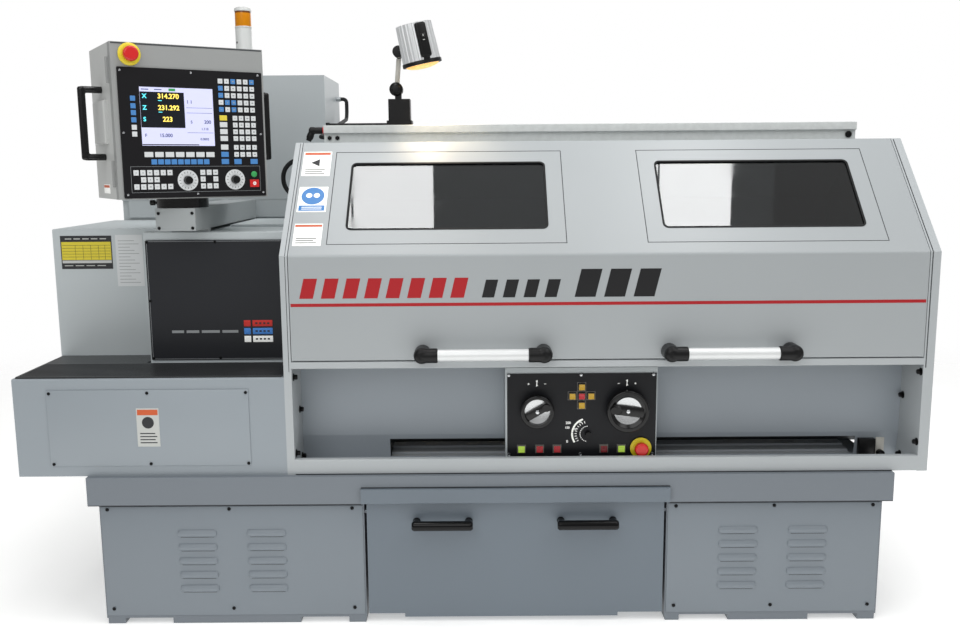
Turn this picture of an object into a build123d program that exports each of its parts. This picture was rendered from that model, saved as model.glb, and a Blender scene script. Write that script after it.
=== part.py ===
"""CNC teach-in lathe: base, bed, headstock, full-length guard door, carriage panel and swivelling console.

Millimetres. +X runs to the right along the bed, +Y to the back, +Z up.
The origin is on the floor, under the middle of the machine's footprint.
"""
from build123d import *
import math
import os

os.makedirs("parts", exist_ok=True)

# Main places along X
machine_left = -1300.0
machine_right = 1300.0
guard_left = -530.0
headstock_left = -976.5

# Main places along Y, all counted back from the front plane of the guard door
front_y = -589.4
spindle_y = front_y + 500.0
housing_back = front_y + 840.0
guard_back = front_y + 835.0
base_back = front_y + 930.0

# Main heights
foot_height = 17.0
pedestal_top = 363.0
deck_top = 447.0
platform_top = 732.0
way_top = 740.0
spindle_z = 980.0
headstock_top = 1131.0
cover_top = 1134.0

# Clearances
running_fit = 0.05
slide_gap = 0.3
door_gap = 2.0

# Base: two pedestals under one deck band
left_pedestal = (-1075.0, -313.0)
right_pedestal = (557.0, 1175.0)
pedestal_front = front_y - 6.0
pedestal_wall = 6.0
pedestal_floor = 8.0
band_span = (-1103.0, 1201.0)
band_front = front_y - 18.0
deck_plate = 12.0
band_wall = 8.0
foot_depth = 70.0
left_feet = ((-1071.0, -1021.0), (-881.0, -506.0), (-365.0, -315.0))
right_feet = ((559.0, 600.0), (743.0, 977.0), (1121.0, 1171.0))
anchor_radius = 9.0
chute_span = (-180.0, 430.0)
chute_front = front_y + 170.0
chute_back = base_back - 110.0
access_margin = 45.0
access_span_z = (75.0, 320.0)

# Access covers with pressed louvres
cover_margin = 4.0
cover_sheet = 3.0
cover_span_z = (26.0, 358.0)
louvre_length = 110.0
louvre_height = 22.0
louvre_depth = 7.0
louvre_wall = 1.5
louvre_pitch_x = 200.0
louvre_pitch_z = 40.0
louvre_rows = 5
louvre_middle_z = 194.5
panel_span_x = (-1205.0, -632.0)
panel_span_z = (478.0, 700.0)
panel_border = 26.0

# Coolant tank drawer between the pedestals
tank_gap = 7.0
tank_front_sheet = 3.0
tank_wall = 3.0
tank_bottom = 34.0
tank_top = 350.0
tank_front_bottom = 26.0
tank_length = 800.0
tank_side_inset = 11.0
lip_span_z = (368.0, 411.0)
lip_reach = 24.0
lip_sheet = 3.0
lip_side_gap = 1.5
strip_span_x = (-201.0, 421.0)
strip_span_z = (15.0, 30.0)
rail_top = 338.0
rail_height = 6.0
rail_width = 12.0
grip_length = 177.0
grip_reach = 46.0
grip_radius = 9.0
grip_flange = 4.0
grip_centres = (-87.0, 327.5)
grip_z = 312.0

# Bed with prismatic ways
bed_span = (-498.0, 1240.0)
bed_half_width = 180.0
bed_foot = 25.0
web_outer = 150.0
web_inner = 118.0
rail_outer = 165.0
rail_inner = 85.0
rail_depth = 46.0
prism_half = 15.0
prism_height = 11.0
rib_count = 7
rib_thickness = 20.0
rib_window = 110.0
bearing_block = 40.0
bearing_height = 76.0

# Ball screw in front of the bed
screw_y = front_y + 246.0
screw_z = 600.0
screw_radius = 16.0
screw_journal = 12.0

# Headstock, its base housing and the gear end cover
housing_wall = 8.0
headstock_front = front_y + 215.0
headstock_wall = 20.0
edge_round = 5.0
front_bearing_radius = 65.0
rear_bearing_radius = 45.0
front_boss = 60.0
rear_boss = 50.0
boss_wall = 32.0
hatch_span_x = (-770.0, -570.0)
hatch_span_y = (front_y + 420.0, front_y + 800.0)
hatch_height = 8.0
plate_span_x = (-972.0, -538.0)
plate_span_z = (743.0, 1106.0)
plate_sheet = 4.0
end_cover_front = front_y + 334.0
end_cover_sheet = 3.0
bar_port_radius = 32.0
mat_height = 5.0
mat_margin = 8.0
mat_rib_pitch = 16.0
mat_rib_width = 6.0
mat_rib_depth = 1.2

# Spindle and chuck
spindle_back = -1010.0
nose_flange_radius = 85.0
nose_flange_span = (-500.0, -480.0)
spindle_bore = 26.0
chuck_radius = 125.0
chuck_length = 92.0
chuck_bore = 35.0
jaw_width = 30.0
jaw_rail_width = 18.0
jaw_bottom = 28.0
jaw_length = 78.0
jaw_step = 24.0
jaw_height = 40.0
jaw_sink = 26.0

# Guard frame
left_end_width = 22.0
right_end_width = 29.0
guard_skin = 4.0
guard_bend_z = 1075.0
guard_top = 1391.0
guard_slope = 311.0
guard_roof_back = 600.0
guard_rear_z = 1200.0
bottom_rail_top = 492.0
middle_rail = (756.0, 776.0)
rail_sheet = 3.0
rail_flange = 18.0
roof_span = (345.0, 455.0)
roof_sheet = 6.0
spindle_hole_radius = 78.0

# Guard door, hinged along its top rear edge
door_sheet = 3.0
door_bottom = 779.0
door_bend = 12.0
door_return = 22.0
door_top_return = 18.0
cheek_width = 30.0
cheek_sheet = 4.0
hinge_drop = 19.0
hinge_back = 7.0
hinge_pin_radius = 6.0
hinge_pin_length = 14.0
window_offset = 448.5
window_length = 571.0
window_height = 260.0
window_middle = 224.5
window_round = 14.0
window_frame_length = 673.0
window_frame_height = 362.0
window_frame_middle = 221.0
seam_width = 2.5
seam_depth = 1.2
pane_overlap = 12.0
pane_thickness = 5.0

# Door handles
handle_offset = 345.0
handle_shift = -4.0
handle_length = 384.0
handle_z = 802.0
bracket_length = 76.0
bracket_height = 40.0
tube_radius = 16.5
tube_stand = 50.0
tube_wall = 2.5

# Inner chip panel, way cover and rear guard
chip_panel_y = front_y + 136.0
chip_sheet = 3.0
chip_top = 752.0
chip_fold = 40.0
slot_span_x = (-248.0, 1145.0)
slot_span_z = (455.0, 512.0)
kick_top = 526.0
kick_depth = 12.0
way_sheet = 2.0
way_steps = 3
way_step_run = 44.0
way_step_rise = 6.0
rear_sheet = 3.0

# Beam over the door, with the work lamp
beam_span = (-453.0, 1185.0)
beam_front = front_y + 360.0
beam_depth = 80.0
beam_top = 1444.0
beam_step_z = 1420.0
beam_step = 10.0
beam_sheet = 4.0

# Carriage
carriage_x = 315.5
saddle_half = 160.0
saddle_height = 50.0
saddle_gap = 0.4
apron_wall = 34.0
apron_bottom = 476.0
nut_radius = 34.0
nut_length = 90.0
arm_half = 130.0
arm_span_z = (478.0, 504.0)
dovetail_half = 62.0
dovetail_height = 22.0
dovetail_slant = 14.0
cross_half = 88.0
cross_height = 44.0
cross_length = 270.0
cross_middle = front_y + 455.0

# Tool post
post_y = front_y + 365.0
post_half = 55.0
post_riser = 40.0
post_height = 128.0
post_slot = 26.0
post_slot_z = 962.0
post_neck = 27.0
lever_radius = 7.0
lever_length = 120.0
lever_grip = 13.0

# Carriage panel
panel_housing_span = (96.0, 534.0)
panel_housing_z = (470.0, 744.0)
panel_housing_front = front_y + 55.0
panel_housing_back = front_y + 131.0
panel_sheet = 2.5
black_plate_span = (101.0, 531.0)
black_plate_z = (474.0, 727.0)
black_plate_sheet = 3.0
jog_centre = (315.5, 661.5)
jog_pitch = 27.0
jog_size = 18.0
jog_stand = 5.0
button_z = 504.0
button_xs = (142.0, 195.0, 245.5, 381.5, 432.0)
button_size = 22.0
button_stand = 5.0
shank_radius = 7.0
shank_depth = 30.0
button_travel = 3.0
override_centre = (335.0, 548.0)
override_radius = 9.5
override_height = 15.0
stop_centre = (488.0, 506.0)
stop_collar_radius = 30.0
stop_collar_height = 4.0
stop_head_radius = 20.0
stop_head_height = 15.0
stop_neck_radius = 12.0
stop_neck_height = 14.0
wheel_axis_z = 622.0
left_wheel = (186.5, 48.5)
right_wheel = (446.0, 61.0)
wheel_stand = 12.0
wheel_depth = 26.0
wheel_rim = 11.0
wheel_shaft = 8.0
crank_width = 22.0
crank_grip_radius = 10.5
crank_grip_length = 16.0

# Tailstock
tail_span = (960.0, 1185.0)
tail_half_width = 150.0
tail_base_height = 60.0
barrel_radius = 56.0
barrel_span = (948.0, 1200.0)
quill_radius = 30.0
quill_span = (930.0, 1140.0)
centre_length = 52.0
quill_rear_room = 40.0
tail_wheel_radius = 90.0
tail_wheel_x = 1216.0
tail_wheel_width = 18.0
tail_hub_radius = 22.0
tail_spokes = 3

# Electrical cabinet
cabinet_span = (-1264.0, -522.0)
cabinet_front = housing_back
cabinet_back = front_y + 1200.0
cabinet_span_z = (480.0, 1639.0)
cabinet_sheet = 3.0
cabinet_rim = 24.0
cabinet_step_z = 1204.0
cabinet_step = 8.0
cabinet_rail_height = 60.0
cabinet_rail_lows = (520.0, 1143.0)
cabinet_door_sheet = 2.0
cabinet_door_depth = 20.0
cabinet_door_gap = 3.0
switch_place = (-893.0, 1300.0)
switch_plate = 65.0
switch_plate_sheet = 3.0
switch_radius = 24.0
switch_height = 12.0
switch_grip = 12.0
switch_grip_height = 14.0
gland_y = front_y + 1130.0
gland_z = 1575.0
gland_radius = 10.0
gland_length = 16.0

# Signal lamp
beacon_xy = (-841.5, front_y + 1020.0)
beacon_radius = 29.5
beacon_body_top = 1829.0
beacon_lens_top = 1886.0
beacon_cap_top = 1900.0

# Console on its arm and slewing ring
arm_span_x = (-895.0, -782.0)
arm_box_z = (1141.0, 1205.0)
arm_front = front_y + 90.0
arm_sheet = 4.0
arm_pad = 10.0
ring_centre = (-841.0, front_y + 176.0)
ring_radius = 73.0
ring_top = 1232.6
ring_bore = 20.0
console_corner = (-952.3, front_y - 22.7)
console_turn = 32.4
console_width = 420.0
console_depth = 267.0
console_bottom = 1233.6
console_height = 418.0
console_front_depth = 28.0
console_sheet = 2.5
console_plate_low = (14.0, 3.0)
console_plate_size = (400.0, 350.0)
console_plate_sheet = 3.0
screen_low = (55.0, 142.0)
screen_size = (201.0, 158.0)
screen_recess = 1.0
selector_places = ((173.6, 47.4), (309.0, 47.8))
selector_radius = 11.5
selector_height = 15.0
console_stop_place = (35.0, 383.5)
console_grip_radius = 9.0
console_grip_stand = 44.0
console_grip_low = 90.0
console_grip_high = 300.0
console_grip_back = 150.0
console_hinge_xy = (-4.5, 28.15)
console_hinge_spans = ((34.0, 104.0), (311.0, 380.0))
hinge_barrel = 4.0
hinge_leaf = 2.0
hinge_leaf_reach = (33.0, 72.0)
pocket_y = (75.0, 215.0)
pocket_z = (152.0, 270.0)
pocket_depth = 11.5
pocket_round = 5.0
lock_knob_radius = 8.0
lock_knob_length = 14.0
lock_knob_reach = 22.0
lock_screw_radius = 4.0

# Work lamp
lamp_y = front_y + 402.0
lamp_base_span = (-254.0, -187.0)
lamp_base_depth = 56.0
lamp_base_top = 1523.0
lamp_flange = 5.0
lamp_flange_height = 14.0
lamp_joint = (-229.5, 1553.0)
lamp_joint_radius = 20.0
lamp_joint_width = 15.0
lamp_joint_gap = 0.4
stem_radius = 6.0
lamp_elbow = (-219.5, 1664.0)
elbow_radius = 17.0
shade_top = (-169.0, 1738.0)
shade_bottom = (-144.0, 1621.0)
shade_y = front_y + 338.0
shade_lean = -6.0
shade_top_radius = 54.5
shade_bottom_radius = 58.0
shade_wall = 5.0
flute_count = 26
flute_radius = 7.0
flute_depth = 2.0
bezel_height = 10.0
bezel_proud = 0.6
lens_setback = 3.0
lens_thickness = 3.0
link_radius = 11.0
elbow_width = 30.0

# Conduit from the cabinet to the beam, lamp cable along the beam, and the hose at the beam's left end
conduit_radius = 7.0
conduit_x = -484.0
conduit_y = front_y + 484.0
conduit_drop_z = 1500.0
conduit_low_z = 1412.0
conduit_entry_x = -400.0
conduit_bends = (14.0, 40.0, 20.0, 20.0)
cable_radius = 4.0
cable_start_x = -446.0
cable_gland_radius = 6.0
cable_gland_length = 10.0
hose_radius = 7.0
hose_reach = 60.0
hose_y = front_y + 400.0
hose_span_z = (1225.0, 1341.0)
hose_bend = 56.0


def slab(x_span, y_span, z_span, mode=Mode.ADD):
    """Fill or cut the straight block between three pairs of coordinates."""
    spans = (x_span, y_span, z_span)
    with Locations(tuple((low + high) / 2 for low, high in spans)):
        return Box(*(high - low for low, high in spans), mode=mode)


def middle(span):
    """Middle of a pair of coordinates."""
    return (span[0] + span[1]) / 2


def width(span):
    """Length of a pair of coordinates."""
    return span[1] - span[0]


# Base frame
with BuildPart() as base_frame:
    for pedestal in (left_pedestal, right_pedestal):
        slab(pedestal, (pedestal_front, base_back), (foot_height, pedestal_top))
    slab(band_span, (band_front, base_back), (pedestal_top, deck_top))
    slab(
        (band_span[0] + band_wall, band_span[1] - band_wall),
        (band_front + band_wall, base_back - band_wall),
        (pedestal_top, deck_top - deck_plate),
        mode=Mode.SUBTRACT,
    )
    for pedestal in (left_pedestal, right_pedestal):
        slab(
            (pedestal[0] + pedestal_wall, pedestal[1] - pedestal_wall),
            (pedestal_front + pedestal_wall, base_back - pedestal_wall),
            (foot_height + pedestal_floor, pedestal_top),
            mode=Mode.SUBTRACT,
        )
        slab(
            (pedestal[0] + access_margin, pedestal[1] - access_margin),
            (pedestal_front, pedestal_front + pedestal_wall),
            access_span_z,
            mode=Mode.SUBTRACT,
        )
    slab(chute_span, (chute_front, chute_back), (deck_top - deck_plate, deck_top), mode=Mode.SUBTRACT)
    lip_notch = (left_pedestal[1] - tank_gap, right_pedestal[0] + tank_gap)
    notch_z = (pedestal_top, lip_span_z[1] + lip_side_gap)
    slab(lip_notch, (band_front, band_front + band_wall), notch_z, mode=Mode.SUBTRACT)
    for feet in (left_feet, right_feet):
        for foot in feet:
            slab(foot, (pedestal_front, pedestal_front + foot_depth), (0, foot_height))
            slab(foot, (base_back - foot_depth, base_back), (0, foot_height))
    rail_y = (pedestal_front + pedestal_wall, base_back - foot_depth)
    rail_z = (rail_top - rail_height, rail_top)
    slab((left_pedestal[1], left_pedestal[1] + rail_width), rail_y, rail_z)
    slab((right_pedestal[0] - rail_width, right_pedestal[0]), rail_y, rail_z)
    anchor_xs = (middle(left_feet[0]), middle(right_feet[-1]))
    anchor_ys = (pedestal_front + foot_depth / 2, base_back - foot_depth / 2)
    with BuildSketch(Plane.XY):
        with Locations(*[(x, y) for x in anchor_xs for y in anchor_ys]):
            Circle(anchor_radius)
    extrude(amount=foot_height + pedestal_floor, mode=Mode.SUBTRACT)
base_frame.part.label = "base_frame"
export_step(base_frame.part, "parts/base_frame.step")

# One pressed louvre: a hood that opens downwards, and the slot behind it
with BuildPart() as louvre_hood:
    with BuildSketch(Plane.YZ.offset(-louvre_length / 2)):
        with BuildLine():
            Polyline((0, louvre_height / 2), (0, -louvre_height / 2), (-louvre_depth, -louvre_height / 2))
            ThreePointArc(
                (-louvre_depth, -louvre_height / 2),
                (-louvre_depth * 0.72, louvre_height * 0.18),
                (0, louvre_height / 2),
            )
        make_face()
    extrude(amount=louvre_length)
with BuildPart() as louvre_slot:
    inner_low = -louvre_height / 2
    inner_high = louvre_height / 2 - 2 * louvre_wall
    inner_front = -louvre_depth + louvre_wall
    with BuildSketch(Plane.YZ.offset(-louvre_length / 2 + louvre_wall)):
        with BuildLine():
            Polyline((0, inner_high), (cover_sheet, inner_high), (cover_sheet, inner_low), (inner_front, inner_low))
            ThreePointArc(
                (inner_front, inner_low),
                (inner_front * 0.72, louvre_height * 0.12),
                (0, inner_high),
            )
        make_face()
    extrude(amount=louvre_length - 2 * louvre_wall)


def louvre_places(pedestal):
    """Where the louvres of one pedestal's cover stand."""
    spread = (louvre_rows - 1) / 2
    return [
        (middle(pedestal) + side * louvre_pitch_x / 2, pedestal_front - cover_sheet, louvre_middle_z + row * louvre_pitch_z)
        for side in (-1, 1)
        for row in [index - spread for index in range(louvre_rows)]
    ]


with BuildPart() as access_covers:
    for pedestal in (left_pedestal, right_pedestal):
        slab(
            (pedestal[0] + cover_margin, pedestal[1] - cover_margin),
            (pedestal_front - cover_sheet, pedestal_front),
            cover_span_z,
        )
        with Locations(*louvre_places(pedestal)):
            add(louvre_hood.part)
            add(louvre_slot.part, mode=Mode.SUBTRACT)
    slab(panel_span_x, (front_y - cover_sheet, front_y), panel_span_z)
access_covers.part.label = "access_covers"
export_step(access_covers.part, "parts/access_covers.step")

# Coolant tank: open tray with a front panel, top lip and side flanges on the pedestals' rails
with BuildPart() as coolant_tank:
    tank_front_span = (left_pedestal[1] + tank_gap, right_pedestal[0] - tank_gap)
    tray_span = (left_pedestal[1] + rail_width + tank_side_inset, right_pedestal[0] - rail_width - tank_side_inset)
    tray_front = pedestal_front + tank_front_sheet
    slab(tank_front_span, (pedestal_front, tray_front), (tank_front_bottom, lip_span_z[0]))
    slab(tray_span, (tray_front, tray_front + tank_length), (tank_bottom, tank_top))
    slab(
        (tray_span[0] + tank_wall, tray_span[1] - tank_wall),
        (tray_front + tank_wall, tray_front + tank_length - tank_wall),
        (tank_bottom + tank_wall, tank_top),
        mode=Mode.SUBTRACT,
    )
    flange_z = (rail_top + slide_gap, rail_top + slide_gap + tank_wall)
    flange_y = (tray_front, tray_front + tank_length)
    slab((left_pedestal[1] + door_gap, tray_span[0]), flange_y, flange_z)
    slab((tray_span[1], right_pedestal[0] - door_gap), flange_y, flange_z)
    with BuildSketch(Plane.YZ.offset(lip_notch[0] + lip_side_gap)):
        with BuildLine():
            FilletPolyline(
                (tray_front, lip_span_z[0]),
                (pedestal_front - lip_reach, lip_span_z[0]),
                (pedestal_front - lip_reach, lip_span_z[1]),
                (tray_front - lip_sheet, lip_span_z[1]),
                radius=4,
            )
            offset(amount=lip_sheet, side=Side.RIGHT)
        make_face()
    extrude(amount=width(lip_notch) - 2 * lip_side_gap)
    slab(strip_span_x, (pedestal_front, pedestal_front + 40), (strip_span_z[0], tank_front_bottom))
coolant_tank.part.label = "coolant_tank"
export_step(coolant_tank.part, "parts/coolant_tank.step")


def bow_handle(centre, plane_y, z, length, reach, radius):
    """Round bar bent into a low bow, standing on a front face at plane_y."""
    half = length / 2
    with BuildPart() as bow:
        with BuildLine(Plane.XY.offset(z)) as route:
            FilletPolyline(
                (centre - half, plane_y),
                (centre - half, plane_y - reach),
                (centre + half, plane_y - reach),
                (centre + half, plane_y),
                radius=2 * radius,
            )
        with BuildSketch(Plane(origin=(centre - half, plane_y, z), z_dir=(0, -1, 0))):
            Circle(radius)
        sweep(path=route.wire())
        for end in (-half, half):
            with BuildSketch(Plane(origin=(centre + end, plane_y, z), z_dir=(0, -1, 0))):
                Circle(radius + grip_flange)
            extrude(amount=grip_flange)
    return bow.part


tank_bows = [
    bow_handle(grip_x, pedestal_front, grip_z, grip_length - 2 * grip_radius, grip_reach, grip_radius)
    for grip_x in grip_centres
]
with BuildPart() as tank_handles:
    add(tank_bows)
tank_handles.part.label = "tank_handles"
export_step(tank_handles.part, "parts/tank_handles.step")

# Bed: two walls with V ways, joined by windowed ribs, and bearing blocks for the ball screw
with BuildPart() as bed:
    with BuildSketch(Plane.YZ.offset(bed_span[0])):
        rail_middle = (rail_outer + rail_inner) / 2
        for side in (-1, 1):
            with BuildLine():
                Polyline(
                    *[
                        (spindle_y + side * across, height)
                        for across, height in (
                            (web_inner - bed_foot, deck_top),
                            (bed_half_width, deck_top),
                            (bed_half_width, deck_top + bed_foot),
                            (web_outer, deck_top + 2 * bed_foot),
                            (web_outer, way_top - rail_depth - 15),
                            (rail_outer, way_top - rail_depth),
                            (rail_outer, way_top),
                            (rail_middle + prism_half, way_top),
                            (rail_middle, way_top + prism_height),
                            (rail_middle - prism_half, way_top),
                            (rail_inner, way_top),
                            (rail_inner, way_top - rail_depth),
                            (web_inner, way_top - rail_depth - 15),
                            (web_inner, deck_top + 2 * bed_foot),
                            (web_inner - bed_foot, deck_top + bed_foot),
                        )
                    ],
                    close=True,
                )
            make_face()
    extrude(amount=width(bed_span))
    rib_step = (width(bed_span) - rib_thickness) / (rib_count - 1)
    for rib in range(rib_count):
        rib_x = bed_span[0] + rib * rib_step
        slab((rib_x, rib_x + rib_thickness), (spindle_y - web_inner, spindle_y + web_inner), (deck_top, way_top - rail_depth))
    with BuildSketch(Plane.YZ.offset(bed_span[0])):
        with Locations((spindle_y, (deck_top + way_top - rail_depth) / 2)):
            RectangleRounded(rib_window, rib_window, 30)
    extrude(amount=width(bed_span), mode=Mode.SUBTRACT)
    for block_x in (bed_span[0], bed_span[1] - bearing_block):
        block_y = (screw_y - bearing_height / 2, spindle_y - web_outer)
        slab((block_x, block_x + bearing_block), block_y, (screw_z - bearing_height / 2, screw_z + bearing_height / 2))
    with BuildSketch(Plane.YZ.offset(bed_span[0])):
        with Locations((screw_y, screw_z)):
            Circle(screw_journal + running_fit)
    extrude(amount=width(bed_span), mode=Mode.SUBTRACT)
bed.part.label = "bed"
export_step(bed.part, "parts/bed.step")

# Ball screw with ring grooves for its thread
with BuildPart() as ball_screw:
    screw_front = bed_span[0] + bearing_block + slide_gap
    screw_end = bed_span[1] - bearing_block - slide_gap
    with BuildSketch(Plane.YZ.offset(bed_span[0] + 2)):
        with Locations((screw_y, screw_z)):
            Circle(screw_journal)
    extrude(amount=width(bed_span) - 4)
    with BuildSketch(Plane.YZ.offset(screw_front)):
        with Locations((screw_y, screw_z)):
            Circle(screw_radius)
    extrude(amount=screw_end - screw_front)
ball_screw.part.label = "ball_screw"
export_step(ball_screw.part, "parts/ball_screw.step")

# Headstock base housing, open below, with a service opening behind its front panel
with BuildPart() as gearbox_housing:
    slab((machine_left, guard_left), (front_y, housing_back), (deck_top, platform_top))
    front_top_edges = edges().filter_by(Axis.X).group_by(Axis.Z)[-1].sort_by(Axis.Y)[0]
    fillet(front_top_edges, radius=edge_round)
    slab(
        (machine_left + housing_wall, guard_left - housing_wall),
        (front_y + housing_wall, housing_back - housing_wall),
        (deck_top, platform_top - housing_wall),
        mode=Mode.SUBTRACT,
    )
    slab(
        (panel_span_x[0] + panel_border, panel_span_x[1] - panel_border),
        (front_y, front_y + housing_wall),
        (panel_span_z[0] + panel_border, panel_span_z[1] - panel_border),
        mode=Mode.SUBTRACT,
    )
gearbox_housing.part.label = "gearbox_housing"
export_step(gearbox_housing.part, "parts/gearbox_housing.step")

# Rubber mat on the platform, ribbed, cut round the headstock and the end cover
with BuildPart() as platform_mat:
    with BuildSketch(Plane.XY.offset(platform_top)):
        with BuildLine():
            Polyline(
                (machine_left + mat_margin, front_y + mat_margin),
                (guard_left - mat_margin, front_y + mat_margin),
                (guard_left - mat_margin, headstock_front - 2 * mat_margin),
                (headstock_left - mat_margin, headstock_front - 2 * mat_margin),
                (headstock_left - mat_margin, end_cover_front - mat_margin),
                (machine_left + mat_margin, end_cover_front - mat_margin),
                close=True,
            )
        make_face()
    extrude(amount=mat_height)
    rib_rows = int((headstock_front - front_y - 4 * mat_margin) / mat_rib_pitch)
    for row in range(rib_rows):
        groove_y = front_y + 2 * mat_margin + row * mat_rib_pitch
        slab(
            (machine_left + 2 * mat_margin, guard_left - 2 * mat_margin),
            (groove_y, groove_y + mat_rib_pitch - mat_rib_width),
            (platform_top + mat_height - mat_rib_depth, platform_top + mat_height),
            mode=Mode.SUBTRACT,
        )
platform_mat.part.label = "platform_mat"
export_step(platform_mat.part, "parts/platform_mat.step")

# Headstock casting with its two spindle bearing bosses
with BuildPart() as headstock:
    slab((headstock_left, guard_left), (headstock_front, housing_back), (platform_top, headstock_top))
    fillet(edges().filter_by(Axis.X).group_by(Axis.Z)[-1].sort_by(Axis.Y)[0], radius=edge_round)
    slab(
        (headstock_left + headstock_wall, guard_left - headstock_wall),
        (headstock_front + headstock_wall, housing_back - headstock_wall),
        (platform_top, headstock_top - headstock_wall),
        mode=Mode.SUBTRACT,
    )
    for start, length, radius in (
        (guard_left - front_boss, front_boss, front_bearing_radius),
        (headstock_left, rear_boss, rear_bearing_radius),
    ):
        with BuildSketch(Plane.YZ.offset(start)):
            with Locations((spindle_y, spindle_z)):
                Circle(radius + boss_wall)
        extrude(amount=length)
        with BuildSketch(Plane.YZ.offset(start)):
            with Locations((spindle_y, spindle_z)):
                Circle(radius + running_fit)
        extrude(amount=length, mode=Mode.SUBTRACT)
    slab(hatch_span_x, hatch_span_y, (headstock_top, headstock_top + hatch_height))
headstock.part.label = "headstock"
export_step(headstock.part, "parts/headstock.step")

with BuildPart() as headstock_plate:
    slab(plate_span_x, (headstock_front - plate_sheet, headstock_front), plate_span_z)
    fillet(headstock_plate.edges().filter_by(Axis.Y), radius=edge_round)
headstock_plate.part.label = "headstock_plate"
export_step(headstock_plate.part, "parts/headstock_plate.step")

# Gear end cover: a sheet hood, open towards the headstock, with a port for bar stock
with BuildPart() as end_cover:
    slab((machine_left, headstock_left), (end_cover_front, housing_back), (platform_top, cover_top))
    fillet(edges().filter_by(Axis.Y).group_by(Axis.X)[0].group_by(Axis.Z)[-1], radius=edge_round)
    slab(
        (machine_left + end_cover_sheet, headstock_left),
        (end_cover_front + end_cover_sheet, housing_back - end_cover_sheet),
        (platform_top + end_cover_sheet, cover_top - end_cover_sheet),
        mode=Mode.SUBTRACT,
    )
    with BuildSketch(Plane.YZ.offset(machine_left)):
        with Locations((spindle_y, spindle_z)):
            Circle(bar_port_radius)
    extrude(amount=end_cover_sheet, mode=Mode.SUBTRACT)
end_cover.part.label = "end_cover"
export_step(end_cover.part, "parts/end_cover.step")

# Spindle: turned in one piece, with its bore and nose flange
with BuildPart() as spindle:
    with BuildSketch(Plane.XY.offset(spindle_z)):
        with BuildLine():
            Polyline(
                (spindle_back, spindle_y + spindle_bore),
                (spindle_back, spindle_y + rear_bearing_radius - 8),
                (headstock_left - 2, spindle_y + rear_bearing_radius - 8),
                (headstock_left - 2, spindle_y + rear_bearing_radius),
                (headstock_left + rear_boss + 20, spindle_y + rear_bearing_radius),
                (headstock_left + rear_boss + 20, spindle_y + rear_bearing_radius + 10),
                (guard_left - front_boss - 20, spindle_y + rear_bearing_radius + 10),
                (guard_left - front_boss - 20, spindle_y + front_bearing_radius),
                (nose_flange_span[0], spindle_y + front_bearing_radius),
                (nose_flange_span[0], spindle_y + nose_flange_radius),
                (nose_flange_span[1], spindle_y + nose_flange_radius),
                (nose_flange_span[1], spindle_y + spindle_bore),
                close=True,
            )
        make_face()
    revolve(axis=Axis((0, spindle_y, spindle_z), (1, 0, 0)))
spindle.part.label = "spindle"
export_step(spindle.part, "parts/spindle.step")

chuck_face = nose_flange_span[1] + chuck_length
jaw_angles = (90, 210, 330)


def jaw_plane(angle):
    """Plane on the spindle axis at the chuck's face: local X outwards along the slot, local Z along +X."""
    outwards = (0, math.cos(math.radians(angle)), math.sin(math.radians(angle)))
    return Plane(origin=(chuck_face, spindle_y, spindle_z), x_dir=outwards, z_dir=(1, 0, 0))


# Three-jaw chuck with stepped T slots
with BuildPart() as chuck_body:
    with BuildSketch(Plane.YZ.offset(nose_flange_span[1])):
        with Locations((spindle_y, spindle_z)):
            Circle(chuck_radius)
    extrude(amount=chuck_length)
    chamfer(chuck_body.edges().filter_by(GeomType.CIRCLE), length=4)
    with BuildSketch(Plane.YZ.offset(nose_flange_span[1])):
        with Locations((spindle_y, spindle_z)):
            Circle(chuck_bore)
    extrude(amount=chuck_length, mode=Mode.SUBTRACT)
    for angle in jaw_angles:
        slot_middle = (chuck_bore + chuck_radius) / 2
        with BuildSketch(jaw_plane(angle)):
            with Locations((slot_middle, 0)):
                Rectangle(chuck_radius, jaw_rail_width + 2 * slide_gap)
        extrude(amount=-jaw_sink - slide_gap, mode=Mode.SUBTRACT)
        with BuildSketch(jaw_plane(angle).offset(-jaw_sink / 2 + slide_gap)):
            with Locations((slot_middle, 0)):
                Rectangle(chuck_radius, jaw_width + 2 * slide_gap)
        extrude(amount=-jaw_sink / 2 - 2 * slide_gap, mode=Mode.SUBTRACT)
chuck_body.part.label = "chuck_body"
export_step(chuck_body.part, "parts/chuck_body.step")

for number, angle in enumerate(jaw_angles, start=1):
    with BuildPart() as jaw:
        jaw_middle = jaw_bottom + jaw_length / 2 + 8
        with BuildSketch(jaw_plane(angle).offset(-jaw_sink)):
            with Locations((jaw_middle, 0)):
                Rectangle(jaw_length, jaw_width)
        extrude(amount=jaw_sink / 2)
        with BuildSketch(jaw_plane(angle).offset(-jaw_sink)):
            with Locations((jaw_middle, 0)):
                Rectangle(jaw_length, jaw_rail_width)
        extrude(amount=jaw_sink + 1)
        for step in range(3):
            step_low = jaw_middle - jaw_length / 2 + step * jaw_step
            with BuildSketch(jaw_plane(angle).offset(slide_gap)):
                with Locations(((step_low + jaw_middle + jaw_length / 2) / 2, 0)):
                    Rectangle(jaw_middle + jaw_length / 2 - step_low, jaw_width)
            extrude(amount=jaw_height - (2 - step) * jaw_height / 3)
    jaw.part.label = f"chuck_jaw_{number}"
    export_step(jaw.part, f"parts/chuck_jaw_{number}.step")

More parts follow.
